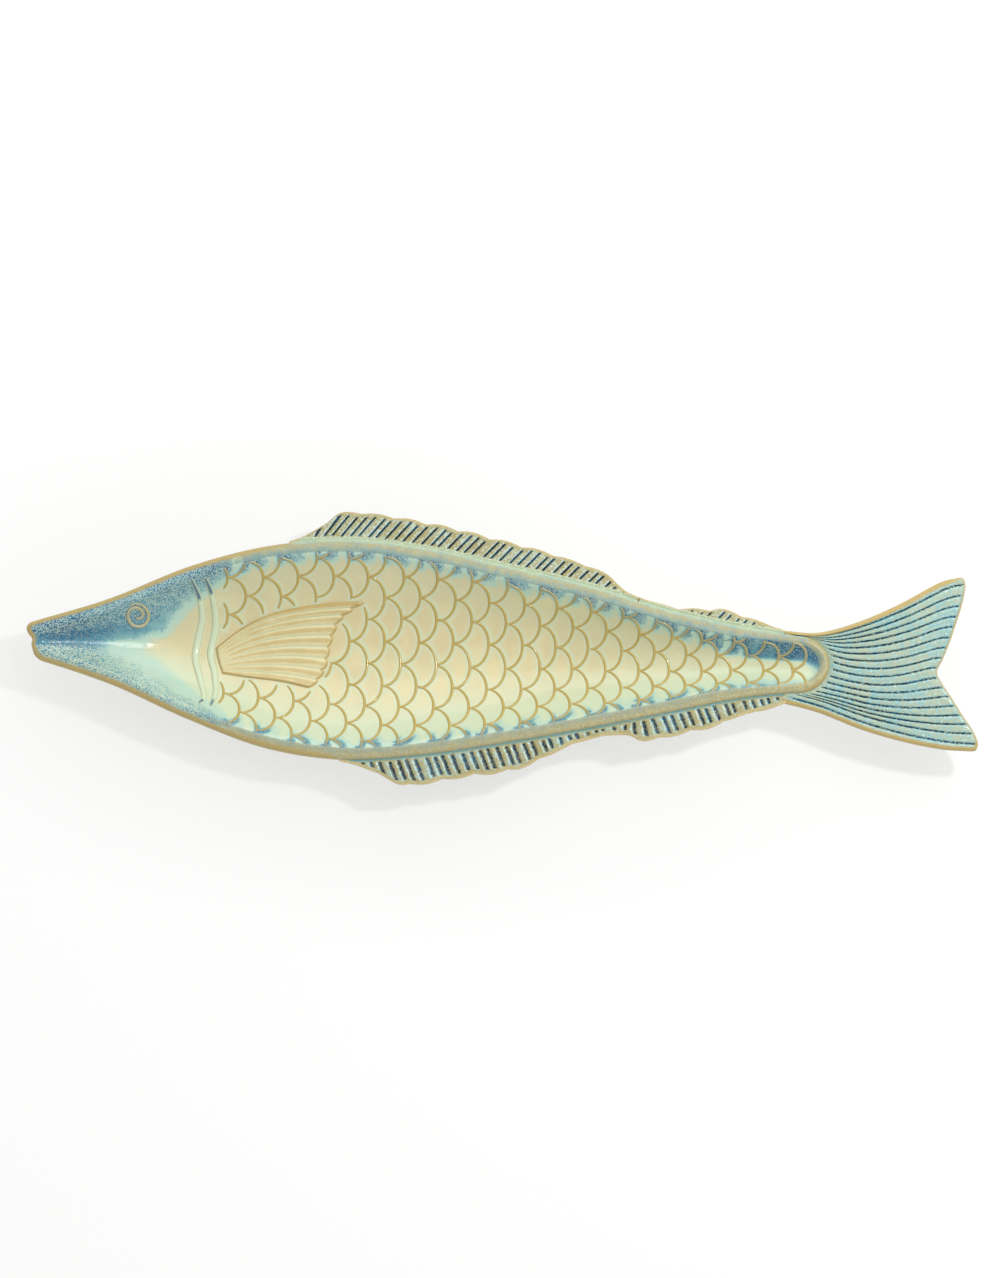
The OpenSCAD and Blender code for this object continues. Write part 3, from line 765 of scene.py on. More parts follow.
@dataclass
class Tail:
    """The forked tail with its fan of rays."""

    spine: Spine
    length: float = 90
    wrap: float = 25
    tuck: float = 1.6
    up: float = 57
    down: float = 46
    rays: int = 18
    ray_steps: int = 12
    rows: int = 80
    under_stride: int = 4
    groove_depth: float = 1.2
    groove_width: float = 0.6
    thickness: float = 5.5
    edge_radius: float = 2.2
    top_shares: Shares = ((0, 0.371), (0.165, 0.371), (0.365, 0.498), (0.565, 0.689), (0.765, 0.925),
                          (0.868, 0.988))
    low_shares: Shares = ((0, -0.47), (0.174, -0.574), (0.383, -0.762), (0.591, -0.898), (0.8, -0.985),
                          (0.955, -0.998))
    tip_shares: Shares = ((0.868, 0.988), (0.888, 0.985), (0.9, 0.945), (0.902, 0.86), (0.885, 0.687),
                          (0.858, 0.498), (0.826, 0.292), (0.795, 0.129), (0.768, 0), (0.798, -0.149),
                          (0.849, -0.33), (0.902, -0.532), (0.952, -0.702), (0.984, -0.86), (0.985, -0.94),
                          (0.974, -0.99), (0.955, -0.998))
    end_angles: tuple[int, ...] = (0, 20, 38, 55, 70, 82)

    def edge(self, shares: Shares) -> Line:
        """Edge of the tail through points given as shares."""
        start, length = self.spine.length - self.wrap, self.length + self.wrap
        return even_line(share_points(shares, start, length, self.up, self.down))

    def root(self) -> Line:
        """Root of the tail, round the end of the dish."""
        s = self.spine
        turn = np.sin(np.radians(self.end_angles))
        u = np.concatenate([[s.length - self.wrap], s.length - s.end_round * (1 - turn)])
        end = np.concatenate([np.stack([u, s.rim_y(u, Side.BACK)], -1),
                              np.stack([u, s.rim_y(u, Side.BELLY)], -1)[::-1]])
        top, low = (self.edge(shares)(np.zeros(1)) for shares in (self.top_shares, self.low_shares))
        return even_line(np.concatenate([top, end, low]))

    def build(self) -> bpy.types.Object:
        """Makes the tail, with grooves between its rays and a round edge."""
        a, s = np.meshgrid(np.linspace(0, 1, self.rays * self.ray_steps + 1), np.linspace(0, 1, self.rows))
        p = coons(s, a, self.edge(self.top_shares), self.edge(self.low_shares), self.root(),
                  self.edge(self.tip_shares))
        edges = np.concatenate([p[:, 0], p[-1, 1:], p[-2::-1, -1]])
        inward = p[:1] - p[3:4]
        p = np.concatenate([p[:1] + self.tuck * inward / np.linalg.norm(inward, axis=-1, keepdims=True), p])
        a, s = np.concatenate([a[:1], a]), np.concatenate([s[:1], s])
        rim = NearestPoint(dense_line(edges, 0.25, False)).find(p)[0]
        ray = a * self.rays
        wide = np.linalg.norm(np.gradient(p, axis=1), axis=-1) * self.ray_steps
        off = np.abs(ray - np.round(ray)) * wide
        groove = np.exp(-(off / np.minimum(self.groove_width, 0.2 * wide)) ** 2)
        ends = ease(0.4, 0.9, ray) * ease(self.rays - 0.4, self.rays - 0.9, ray)
        span = ease(0.01, 0.05, s) * ease(0.6, 2.0, rim) * ends
        groove, shore = groove * span, np.exp(-(off / (0.34 * wide)) ** 2) * span
        border = 0.8 + 1.9 * ease(0.12, 0.03, a) * ease(1, 0.9, s) + 1.6 * ease(0.9, 0.98, a)
        drop = fillet(rim, self.edge_radius) * ease(0.0, 0.05, s)
        low = self.spine.edge_top - self.thickness + 0.8 * drop
        low[0] += ROOT_LIFT
        dip = 1.2 * np.exp(-(s / 0.02) ** 2)
        z = self.spine.edge_top - FIN_DROP - self.groove_depth * groove - drop - dip
        u, v, z = p[..., 0], p[..., 1], np.maximum(z, low + THINNEST)
        return slab("tail", to_row(u, v, z), to_row(u, v, low), {
            "groove": groove, "shore": shore, "bare": border - rim, "root": s * self.length + 1.5,
        }, self.under_stride)


@dataclass
class FootRing:
    """The bare ring that the platter stands on."""

    spine: Spine
    length: float = 160
    breadth: float = 34
    width: float = 6
    power: float = 3
    bedding: float = 0.3
    top_inset: float = 0.6
    worn_edge: Shares = ((0.25, 1.2), (0.6, 0.45), (1.3, 0.1), (2.2, 0.0))
    sides: int = 160

    def ring(self, inset: float, z: float) -> Array:
        """One closed line of the ring.

        Args:
            inset: Distance in from the outer edge.
            z: Height of the line.

        Returns:
            Points in the row frame.
        """
        s = self.spine
        middle = np.array([(s.head_climb + s.length - s.tail_climb) / 2])
        turn = np.linspace(0, 2 * math.pi, self.sides, endpoint=False)
        x = np.sin(turn)
        y = np.sqrt(np.maximum(1 - np.abs(x) ** self.power, 0)) * np.where(np.cos(turn) < 0, -1, 1)
        long, broad = self.length / 2 - inset, self.breadth / 2 - inset
        return to_row(middle + x * long, s.middle(middle) + y * broad, np.full_like(x, z))

    def build(self) -> bpy.types.Object:
        """Makes the ring, with its lower edges worn round."""
        outer = [(self.top_inset, self.spine.foot_height + self.bedding), *self.worn_edge]
        profile = outer + [(self.width - inset, z) for inset, z in reversed(outer)]
        rings = [self.ring(inset, z) for inset, z in profile]
        faces = []
        for k in range(len(rings)):
            a, b = k * self.sides, (k + 1) % len(rings) * self.sides
            for i in range(self.sides):
                j = (i + 1) % self.sides
                faces.append((a + i, a + j, b + j, b + i))
        return mesh_piece("foot", np.concatenate(rings), faces)


@dataclass(frozen=True)
class Ridge:
    """Size of a raised line."""

    width: float
    height: float
    end_share: float


@dataclass
class LineRelief:
    """Raised lines that run over the well: scales, gill bands and the curl of the eye."""

    dish: Dish
    pectoral: Pectoral
    seed: int = 7
    top_limit: float = 36.3
    sink: float = 0.5
    sides: int = 14
    scale_pitch: float = 27.5
    scale_step: float = 10.3
    row_share: float = -0.22
    field_share: float = 1.0
    fin_gap: float = 1.2
    gill_clear: float = 3
    end_clear: float = 7
    girth_limit: float = 90
    arc_angle: float = 87
    arc_points: int = 27
    least_points: int = 7
    jitter: float = 0.4
    gill_start: float = 99
    gill_gap: float = 8
    gill_sway: float = 8
    eye_place: tuple[float, float] = (62, 18)
    eye_diameter: float = 15
    eye_turns: float = 1.7
    pitch_shares: Shares = ((0, 0.85), (0.25, 0.92), (0.42, 0.97), (0.52, 1), (0.62, 0.99), (0.7, 0.94),
                            (0.78, 0.84), (0.89, 0.68), (1, 0.55))
    step_shares: Shares = ((0, 1), (0.5, 1), (0.65, 0.96), (0.78, 0.91), (0.9, 0.86), (1, 0.8))
    front_gill_shares: Shares = ((-0.7, 0.6), (-0.15, 0.45), (0.05, 0.28), (-0.2, 0.1), (-0.35, -0.08),
                                 (0.05, -0.26), (0.5, -0.45), (0.2, -0.52))
    rear_gill_shares: Shares = ((-0.7, 0.62), (-0.24, 0.48), (0.05, 0.24), (-0.24, -0.03), (0.1, -0.21),
                                (0.3, -0.4), (0.04, -0.54))

    def girth_place(self, u: Array, girth: Array) -> Array:
        """Points of the well at a way across it, measured along its curve from the bed."""
        s, t = self.dish.spine, np.linspace(0, 1.2, 49)
        wide, deep, middle = s.inner(u), np.maximum(s.depth(u), 0.2), s.middle(u)
        out = np.empty((len(u), 2))
        for k, (w, d) in enumerate(zip(wide, deep)):
            x = 2 * d * t / w
            curve = w * t / 2 * np.sqrt(1 + x ** 2) + w ** 2 / (4 * d) * np.arcsinh(x)
            out[k] = u[k], middle[k] + math.copysign(np.interp(abs(girth[k]), curve, t) * w, girth[k])
        return out

    def scales(self) -> list[Array]:
        """Edges of the scales, each from the tip of one neighbour to the tip of the other."""
        s, fin = self.dish.spine, self.pectoral.outline()
        chance, by_fin = np.random.default_rng(self.seed), NearestPoint(dense_line(fin, 0.4, True))
        start = self.rear_gill()[:, 0].max() + self.gill_clear
        lines, u, column = [], start + 2, 0
        while u < s.length - self.end_clear:
            share = np.array([u / s.length])
            pitch = self.scale_pitch * table_value(share, self.pitch_shares)[0]
            step = self.scale_step * table_value(share, self.step_shares)[0]
            rows = math.ceil(self.girth_limit / pitch)
            for row in range(-rows, rows + 1):
                shift = chance.normal(0, self.jitter, 4)
                angle = np.linspace(-1, 1, self.arc_points) * math.radians(self.arc_angle)
                way = (row + column % 2 / 2 + self.row_share) * pitch + shift[0]
                places = u + shift[1] - (step + 0.3 * shift[2]) * (1 - np.cos(angle))
                line = self.girth_place(places, way + (pitch / 2 + 0.3 * shift[3]) * np.sin(angle))
                across = np.abs(line[:, 1] - s.middle(line[:, 0])) / s.inner(line[:, 0])
                clear = (by_fin.find(line)[0] > self.fin_gap) & ~inside(line, fin)
                first, last = longest_run((line[:, 0] > start - 1) & (across < self.field_share) & clear)
                if last - first > self.least_points:
                    lines.append(line[first:last])
            u, column = u + step, column + 1
        return lines

    def gill(self, start: float, shares: Shares) -> Array:
        """Line of a gill band."""
        s = self.dish.spine
        return spline(np.linspace(0, 1, 60),
                      share_points(shares, start, self.gill_sway, s.back_height, s.belly_height))

    def front_gill(self) -> Array:
        """Line of the front gill band."""
        return self.gill(self.gill_start, self.front_gill_shares)

    def rear_gill(self) -> Array:
        """Line of the rear gill band."""
        return self.gill(self.gill_start + self.gill_gap, self.rear_gill_shares)

    def eye(self) -> Array:
        """Curl of the eye."""
        t = np.linspace(0, 1, 90)
        radius = (self.eye_diameter / 2 - 1.2) * (0.2 + 0.8 * np.minimum(1, t * self.eye_turns))
        angle = np.radians(130 - 360 * self.eye_turns * (1 - t))
        return np.stack([self.eye_place[0] + radius * np.cos(angle),
                         self.eye_place[1] + radius * np.sin(angle)], -1)

    def build(self, name: str, lines: list[Array], ridge: Ridge, flow: GlazeFlow,
              material: bpy.types.Material) -> bpy.types.Object:
        """Makes raised lines on the well.

        Args:
            name: Name of the piece.
            lines: Places of the lines.
            ridge: Size of the lines.
            flow: How the glaze ran.
            material: Finish of the lines.

        Returns:
            The piece.
        """
        points, edges, lays, tapers, wets, first = [], [], [], [], [], 0
        for line in lines:
            u, v = line.T
            z, out = self.dish.lay(u, v)
            share = np.linspace(0, 1, len(line))
            ends = ridge.end_share + (1 - ridge.end_share) * np.sin(math.pi * share) ** 0.5
            points.append(to_row(u, v, z))
            edges += [(first + i, first + i + 1) for i in range(len(line) - 1)]
            lays.append(out)
            room = (self.top_limit - z) / (ridge.height + 0.4 * ridge.width)
            tapers.append(np.minimum(ends, np.clip(room, 0.05, 1)))
            none = np.zeros_like(u)
            blue = flow.blue(u, v, self.dish.edge_distance(u, v), none, none) * flow.navy(u, v)
            wets.append(np.maximum(blue, ease(0.2, 0.1, share) + 0.6 * ease(0.86, 0.95, share))
                        if len(lines) == 1 else blue)
            first += len(line)
        mesh = bpy.data.meshes.new(name)
        mesh.from_pydata(np.concatenate(points).tolist(), edges, [])
        for key, numbers in (("lay", lays), ("taper", tapers), ("wet", wets)):
            store(mesh, key, np.concatenate(numbers))
        piece = linked(name, mesh)
        apply_tree(piece, raised_line_tree(), {
            "Width": ridge.width * MM, "Height": ridge.height * MM, "Sink": self.sink * MM,
            "Sides": self.sides, "Material": material})
        return piece


def feed(tree: bpy.types.NodeTree, socket: bpy.types.NodeSocket, value: Any) -> None:
    """Sets a socket to a number or colour, or links it."""
    if isinstance(value, Value):
        value = value.socket
    if isinstance(value, bpy.types.NodeSocket):
        tree.links.new(value, socket)
    else:
        socket.default_value = value


def add_node(tree: bpy.types.NodeTree, kind: str, settings: Settings = None,
             inputs: Settings = None) -> bpy.types.Node:
    """Adds a node to a tree.

    Args:
        tree: Tree of a material or of a shape.
        kind: Type of the node.
        settings: Its settings, which are set first.
        inputs: Values or links of its sockets.

    Returns:
        The node.
    """
    made = tree.nodes.new(kind)
    for key, value in (settings or {}).items():
        setattr(made, key, value)
    for key, value in (inputs or {}).items():
        feed(tree, made.inputs[key], value)
    return made


def raised_line_tree() -> bpy.types.NodeTree:
    """Node tree that sweeps a soft ridge along lines that lie on a surface."""
    if "raised line" in bpy.data.node_groups:
        return bpy.data.node_groups["raised line"]
    tree = bpy.data.node_groups.new("raised line", "GeometryNodeTree")
    tree.interface.new_socket("Geometry", in_out="INPUT", socket_type="NodeSocketGeometry")
    for name, kind in (("Width", "Float"), ("Height", "Float"), ("Sink", "Float"), ("Sides", "Int"),
                       ("Material", "Material")):
        tree.interface.new_socket(name, in_out="INPUT", socket_type="NodeSocket" + kind)
    tree.interface.new_socket("Geometry", in_out="OUTPUT", socket_type="NodeSocketGeometry")

    node = partial(add_node, tree)

    def maths(operation: str, a: Any, b: Any) -> bpy.types.NodeSocket:
        """Adds a Math node."""
        return node("ShaderNodeMath", {"operation": operation}, {0: a, 1: b}).outputs[0]

    given = node("NodeGroupInput").outputs
    curve = node("GeometryNodeMeshToCurve", inputs={0: given["Geometry"]}).outputs[0]
    lay, taper = (node("GeometryNodeInputNamedAttribute", {"data_type": kind}, {"Name": name})
                  for name, kind in (("lay", "FLOAT_VECTOR"), ("taper", "FLOAT")))
    curve = node("GeometryNodeSetCurveNormal", {"mode": "FREE"},
                 {"Curve": curve, "Normal": lay.outputs["Attribute"]}).outputs[0]
    circle = node("GeometryNodeCurvePrimitiveCircle", {"mode": "RADIUS"},
                  {"Resolution": given["Sides"], "Radius": 1.0}).outputs[0]
    place = node("ShaderNodeSeparateXYZ", inputs={0: node("GeometryNodeInputPosition").outputs[0]})
    above, below = (maths(kind, place.outputs[0], 0.0) for kind in ("MAXIMUM", "MINIMUM"))
    circle = node("GeometryNodeStoreNamedAttribute", {"data_type": "FLOAT", "domain": "POINT"},
                  {"Geometry": circle, "Name": "crest", "Value": above}).outputs[0]
    lift = maths("ADD", maths("MULTIPLY", maths("POWER", above, 1.3), given["Height"]),
                 maths("MULTIPLY", below, given["Sink"]))
    wide = maths("MULTIPLY", place.outputs[1], maths("MULTIPLY", given["Width"], 0.5))
    shape = node("ShaderNodeCombineXYZ", inputs={0: lift, 1: wide, 2: 0.0}).outputs[0]
    circle = node("GeometryNodeSetPosition", inputs={"Geometry": circle, "Position": shape}).outputs[0]
    ridge = node("GeometryNodeCurveToMesh", inputs={
        "Curve": curve, "Profile Curve": circle, "Scale": taper.outputs["Attribute"],
        "Fill Caps": True}).outputs[0]
    for kind in ("GeometryNodeSetShadeSmooth", "GeometryNodeRealizeInstances"):
        ridge = node(kind, inputs={0: ridge}).outputs[0]
    ridge = node("GeometryNodeSetMaterial", inputs={0: ridge, "Material": given["Material"]}).outputs[0]
    node("NodeGroupOutput", inputs={0: ridge})
    return tree


def apply_tree(piece: bpy.types.Object, tree: bpy.types.NodeTree, values: dict[str, Any]) -> None:
    """Runs a node tree on a piece and keeps the result as its plain mesh.

    Args:
        piece: Piece that the tree starts from.
        tree: Geometry node tree.
        values: Values of the tree's inputs, by name.
    """
    modifier = piece.modifiers.new(tree.name, "NODES")
    modifier.node_group = tree
    for item in tree.interface.items_tree:
        if item.in_out == "INPUT" and item.name in values:
            modifier[item.identifier] = values[item.name]
    bpy.context.view_layer.update()
    made = bpy.data.meshes.new_from_object(piece.evaluated_get(bpy.context.evaluated_depsgraph_get()))
    piece.modifiers.clear()
    old, piece.data = piece.data, made
    bpy.data.meshes.remove(old)
    made.name = piece.name
    face_outwards(made)


def srgb(red: int, green: int, blue: int) -> Colour:
    """Colour of a screen value from 0 to 255."""
    line = [c / 255 / 12.92 if c <= 10 else ((c / 255 + 0.055) / 1.055) ** 2.4 for c in (red, green, blue)]
    return (line[0], line[1], line[2], 1.0)


class Value:
    """A number of a shader that Python's operators build on."""

    def __init__(self, graph: "Graph", socket: bpy.types.NodeSocket) -> None:
        """Wraps a socket of a graph."""
        self.graph, self.socket = graph, socket

    def maths(self, operation: str, a: Any, b: Any) -> "Value":
        """Adds a Math node on two values or numbers."""
        made = self.graph.node("ShaderNodeMath", {"operation": operation}, {0: a, 1: b})
        return Value(self.graph, made.outputs[0])

    def __add__(self, other: Any) -> "Value":
        """Sum."""
        return self.maths("ADD", self, other)

    def __sub__(self, other: Any) -> "Value":
        """Difference."""
        return self.maths("SUBTRACT", self, other)

    def __rsub__(self, other: Any) -> "Value":
        """Difference, with a number first."""
        return self.maths("SUBTRACT", other, self)

    def __mul__(self, other: Any) -> "Value":
        """Product."""
        return self.maths("MULTIPLY", self, other)

    __radd__, __rmul__ = __add__, __mul__

    def most(self, other: Any) -> "Value":
        """The larger of two values."""
        return self.maths("MAXIMUM", self, other)

    def ease(self, low: float, high: float) -> "Value":
        """Smooth step from 0 at low to 1 at high, or backwards."""
        swap = low > high
        made = self.graph.node("ShaderNodeMapRange", {"interpolation_type": "SMOOTHSTEP"}, {
            "Value": self, "From Min": min(low, high), "From Max": max(low, high),
            "To Min": 1.0 if swap else 0.0, "To Max": 0.0 if swap else 1.0})
        return Value(self.graph, made.outputs[0])


class Graph:
    """The node tree of one material."""

    finer_weight = 0.55

    def __init__(self, name: str) -> None:
        """Starts a material with one shader."""
        self.material = bpy.data.materials.new(name)
        self.material.use_nodes = True
        self.tree = self.material.node_tree
        self.shader = self.tree.nodes["Principled BSDF"]
        self.place = self.node("ShaderNodeTexCoord").outputs["Object"]

    def node(self, kind: str, settings: Settings = None, inputs: Settings = None) -> bpy.types.Node:
        """Adds a node with its settings and the values or links of its sockets."""
        return add_node(self.tree, kind, settings, inputs)

    def attributes(self, *names: str) -> list[Value]:
        """Numbers that the piece's mesh keeps."""
        made = [self.node("ShaderNodeAttribute", {"attribute_name": name}) for name in names]
        return [Value(self, node.outputs["Fac"]) for node in made]

    def noise(self, size: float, detail: float, stretch: tuple[float, float, float] = (1, 1, 1)) -> Value:
        """Cloudy number from 0 to 1.

        Args:
            size: Size of the clouds, in millimetres.
            detail: Octaves of finer clouds.
            stretch: Length of the clouds along each axis.

        Returns:
            The number.
        """
        turned = self.node("ShaderNodeMapping", inputs={
            "Vector": self.place, "Scale": tuple(1 / k for k in stretch)}).outputs[0]
        made = self.node("ShaderNodeTexNoise", inputs={
            "Vector": turned, "Scale": 1 / (size * MM), "Detail": detail, "Roughness": self.finer_weight})
        return Value(self, made.outputs["Fac"])

    def dots(self, coarse: float, fine: float) -> Value:
        """Speckle of two sizes in millimetres, from 0 to 1."""
        return self.noise(coarse, 0.0) * 0.5 + self.noise(fine, 0.0) * 0.5

    def mix(self, share: Any, a: Any, b: Any) -> bpy.types.NodeSocket:
        """Colour part of the way from a to b."""
        made = self.node("ShaderNodeMix", {"data_type": "RGBA"}, {0: share, 6: a, 7: b})
        return made.outputs[2]

    def finish(self, colour: Any, roughness: Any, height: Value | None = None,
               depth: float = 0.1) -> bpy.types.Material:
        """Joins the results to the shader.

        Args:
            colour: Base colour.
            roughness: Roughness.
            height: Height of the fine surface, from 0 to 1.
            depth: Depth of the fine surface, in millimetres.

        Returns:
            The material.
        """
        feed(self.tree, self.shader.inputs["Base Color"], colour)
        feed(self.tree, self.shader.inputs["Roughness"], roughness)
        if height is not None:
            bump = self.node("ShaderNodeBump", inputs={"Strength": 1.0, "Distance": depth * MM,
                                                       "Height": height})
            feed(self.tree, self.shader.inputs["Normal"], bump.outputs[0])
        return self.material


@dataclass(frozen=True)
class Palette:
    """Colours of the reactive glaze."""

    cream: Colour = srgb(224, 214, 168)
    warm: Colour = srgb(214, 201, 156)
    celadon: Colour = srgb(207, 221, 190)
    mint: Colour = srgb(184, 215, 198)
    cyan: Colour = srgb(140, 194, 198)
    teal: Colour = srgb(116, 172, 178)
    blue: Colour = srgb(74, 138, 160)
    navy: Colour = srgb(32, 98, 132)
    ink: Colour = srgb(10, 50, 66)
    frost: Colour = srgb(202, 222, 208)
    ochre: Colour = srgb(194, 168, 102)
    brown: Colour = srgb(190, 168, 96)
    khaki: Colour = srgb(170, 160, 110)
    sand: Colour = srgb(196, 188, 146)
    stone: Colour = srgb(178, 188, 160)
    wheat: Colour = srgb(222, 204, 148)


@dataclass(frozen=True)
class BodyGlaze:
    """Glaze of the dish: cream in the well, celadon by the lines, blue along the rim, ochre at its edge."""

    palette: Palette

    def make(self) -> bpy.types.Material:
        """Makes the material."""
        g, p = Graph("glaze"), self.palette
        edge, ridge, outer, under = g.attributes("edge", "ridge", "outer", "under")
        blue, navy, fleck, gold, band, back = g.attributes("blue", "navy", "fleck", "gold", "band", "back")
        dots, cloud, patch = g.dots(0.9, 0.55), g.noise(18, 3.0), g.noise(6, 3.0)
        dot, drift, shade = dots - 0.5, cloud - 0.5, patch - 0.5
        # The tone leans warmer and darker on the back side (back * 0.2): painted shade of the back wall,
        # over the glaze's own cloudy tone.
        colour = g.mix((cloud + back * 0.2).ease(0.4, 0.8), p.cream, p.warm)
        by_line = ridge.ease(4.6, 0.4) * (0.6 + outer * 0.3)
        # Celadon of glaze pooled towards the rim, held back on the back side so that wall stays warmer as
        # painted shade.
        by_wall = edge.ease(46, 12) * (1.0 - back * 0.65) + drift * 0.5
        colour = g.mix(by_line.most(by_wall), colour, p.celadon)

        stir = blue.ease(0.02, 0.4)
        pool = blue * (0.45 + navy * 0.55) + stir * (shade * 0.5 + dot * 0.5)
        for low, high, deeper in (
                (0.02, 0.2, p.mint), (0.26, 0.46, p.teal), (0.42, 0.66, p.blue), (0.66, 0.95, p.navy)):
            colour = g.mix(pool.ease(low, high), colour, deeper)
        pale = (dots + fleck * 0.12).ease(0.52, 0.6) * pool.ease(0.2, 0.42) * (0.3 + fleck * 0.65)
        colour = g.mix(pale, colour, g.mix(back, p.celadon, p.frost))

        specks = dots.ease(0.44, 0.56)
        sand = g.mix(specks * (1.0 - back * 0.4), p.khaki, g.mix(back, p.sand, p.stone))
        # Mint line along the rim's outer edge on the back side, where the fin joins: glaze pooled in the
        # groove at the fin's root, brightened there as a painted highlight.
        by_fin = (edge.ease(2.6, 0.2) + dot * 2.0 + shade * 0.8).ease(0.25, 0.8)
        sand = g.mix(by_fin * back * 0.7, sand, p.mint)
        wash = (patch + dot * 1.6 + edge.ease(2.5, 6) * 0.45 - 0.1).ease(0.45, 0.75)
        wash = wash * (0.15 + navy * 0.35 + back * 0.1)
        sand = g.mix(wash, sand, g.mix((patch + dot * 1.5).ease(0.4, 0.65), p.teal, p.blue))
        on_band = (band + shade * 0.6 + dot).ease(0.25, 0.75) * 0.95
        colour = g.mix(on_band, colour, sand)
        free = gold - edge + shade * 1.2 + dot * 2.0
        colour = g.mix(free.ease(-0.9, 0.6), colour, g.mix(dots.ease(0.42, 0.6), p.ochre, p.khaki))
        colour = g.mix(under, colour, g.mix(cloud.ease(0.35, 0.7), p.celadon, p.cream))
        rough = 0.08 + stir * dots * 0.06 + on_band * 0.12
        return g.finish(colour, rough, dots * (0.1 + stir * 0.45 + on_band * 0.6) + cloud * 2.5, 0.1)


@dataclass(frozen=True)
class RibGlaze:
    """Glaze of fins and tail: blue in the grooves, pale crystals by them, thin and ochre at the edge."""

    palette: Palette
    name: str
    rib: Colour
    speck: Colour
    shore: Colour
    root: Colour
    edge: Colour
    root_width: float
    shore_share: float
    dash: float

    def make(self) -> bpy.types.Material:
        """Makes the material."""
        g, p = Graph(self.name), self.palette
        groove, shore, root, bare, under = g.attributes("groove", "shore", "root", "bare", "under")
        dots, cloud = g.dots(1.0, 0.6), g.noise(13, 3.0)
        dot, drift = dots - 0.5, cloud - 0.5
        colour = g.mix((dots + drift * 0.5).ease(0.46, 0.57) * 0.85, self.rib, self.speck)
        wet = (shore + dot * 4 + drift * 0.8).ease(0.25, 0.75) * self.shore_share
        colour = g.mix(wet, colour, self.shore)
        pale = (shore.most(groove) + dot * 4).ease(0.8, 1.2)
        colour = g.mix(pale * 0.85, colour, p.frost)
        dark = (groove + dot * self.dash).ease(0.4, 0.62) * groove.ease(0.1, 0.3)
        colour = g.mix(dark, colour, g.mix(cloud.ease(0.4, 0.65) * 0.6, p.ink, p.navy))
        at_root = (self.root_width - root + dot * 3).ease(-0.3, 0.6)
        colour = g.mix(at_root, colour, self.root)
        free = (bare + drift * 1.6 + dot * 1.8).ease(-0.7, 0.5)
        colour = g.mix(free, colour, g.mix(dots.ease(0.42, 0.6) * 0.6, self.edge, p.khaki))
        colour = g.mix(under, colour, g.mix(cloud.ease(0.4, 0.7), p.celadon, p.stone))
        return g.finish(colour, 0.12 + dots * 0.12, dots, 0.16)


@dataclass(frozen=True)
class LineGlaze:
    """Glaze that breaks from a raised line."""

    name: str
    crest: Colour
    foot: Colour
    wet: Colour
    wet_share: float

    def make(self) -> bpy.types.Material:
        """Makes the material."""
        g = Graph(self.name)
        crest, wet = g.attributes("crest", "wet")
        grain, cloud = g.noise(1.6, 2.0), g.noise(12, 2.0)
        dot, drift = grain - 0.5, cloud - 0.5
        colour = g.mix((crest + dot * 0.4 + drift * 0.5).ease(0.15, 0.7), self.foot, self.crest)
        soaked = (wet + drift * 0.6 + dot * 0.5).ease(0.3, 0.7) * crest.ease(0.55, 0.95)
        colour = g.mix(soaked * self.wet_share, colour, self.wet)
        return g.finish(colour, 0.1 + grain * 0.06, grain, 0.05)


@dataclass(frozen=True)
class FinReliefGlaze:
    """Glaze of the pectoral fin: ochre on the rays, celadon between them."""

    palette: Palette

    def make(self) -> bpy.types.Material:
        """Makes the material."""
        g, p = Graph("side_fin_glaze"), self.palette
        crest, bold, edge = g.attributes("crest", "bold", "edge")
        grain, cloud = g.noise(1.5, 2.0, (6, 1, 1)), g.noise(12, 3.0)
        colour = g.mix((crest + (grain - 0.5) * 0.3).ease(-0.2, 0.5), p.celadon, p.cream)
        line = (crest + (grain - 0.5) * 0.3 + (cloud - 0.5) * 0.8).ease(0.65, 1.0)
        colour = g.mix(line * 0.6, colour, p.ochre)
        breaks = (bold * 0.9).most(edge.ease(1.5, 0.6) * 0.8) * (0.7 + cloud * 0.5)
        colour = g.mix(breaks, colour, p.ochre)
        return g.finish(colour, 0.1 + grain * 0.06, grain, 0.05)


@dataclass(frozen=True)
class BareClay:
    """Unglazed stoneware of the foot."""

    def make(self) -> bpy.types.Material:
        """Makes the material."""
        g = Graph("bare_clay")
        grain, cloud = g.noise(0.9, 2.0), g.noise(18, 3.0)
        colour = g.mix(cloud.ease(0.3, 0.7), srgb(206, 184, 150), srgb(188, 160, 122))
        colour = g.mix(grain.ease(0.62, 0.75) * 0.5, colour, srgb(120, 92, 64))
        return g.finish(colour, 0.72 + grain * 0.2, grain, 0.12)


@dataclass(frozen=True)
class Lamp:
    """An area lamp that faces the platter, with its place and size in metres and its power in watts."""

    name: str
    place: tuple[float, float, float]
    size: tuple[float, float]
    power: float

    def build(self) -> None:
        """Adds the lamp, with its width along X and its length across that."""
        light = bpy.data.lights.new(self.name, "AREA")
        light.shape, light.energy = "RECTANGLE", self.power
        light.size, light.size_y = self.size
        away = Vector(self.place).normalized()
        across = away.cross(Vector((1, 0, 0))).normalized()
        turn = Matrix((across.cross(away), across, away)).transposed().to_4x4()
        linked(self.name, light).matrix_world = Matrix.Translation(self.place) @ turn


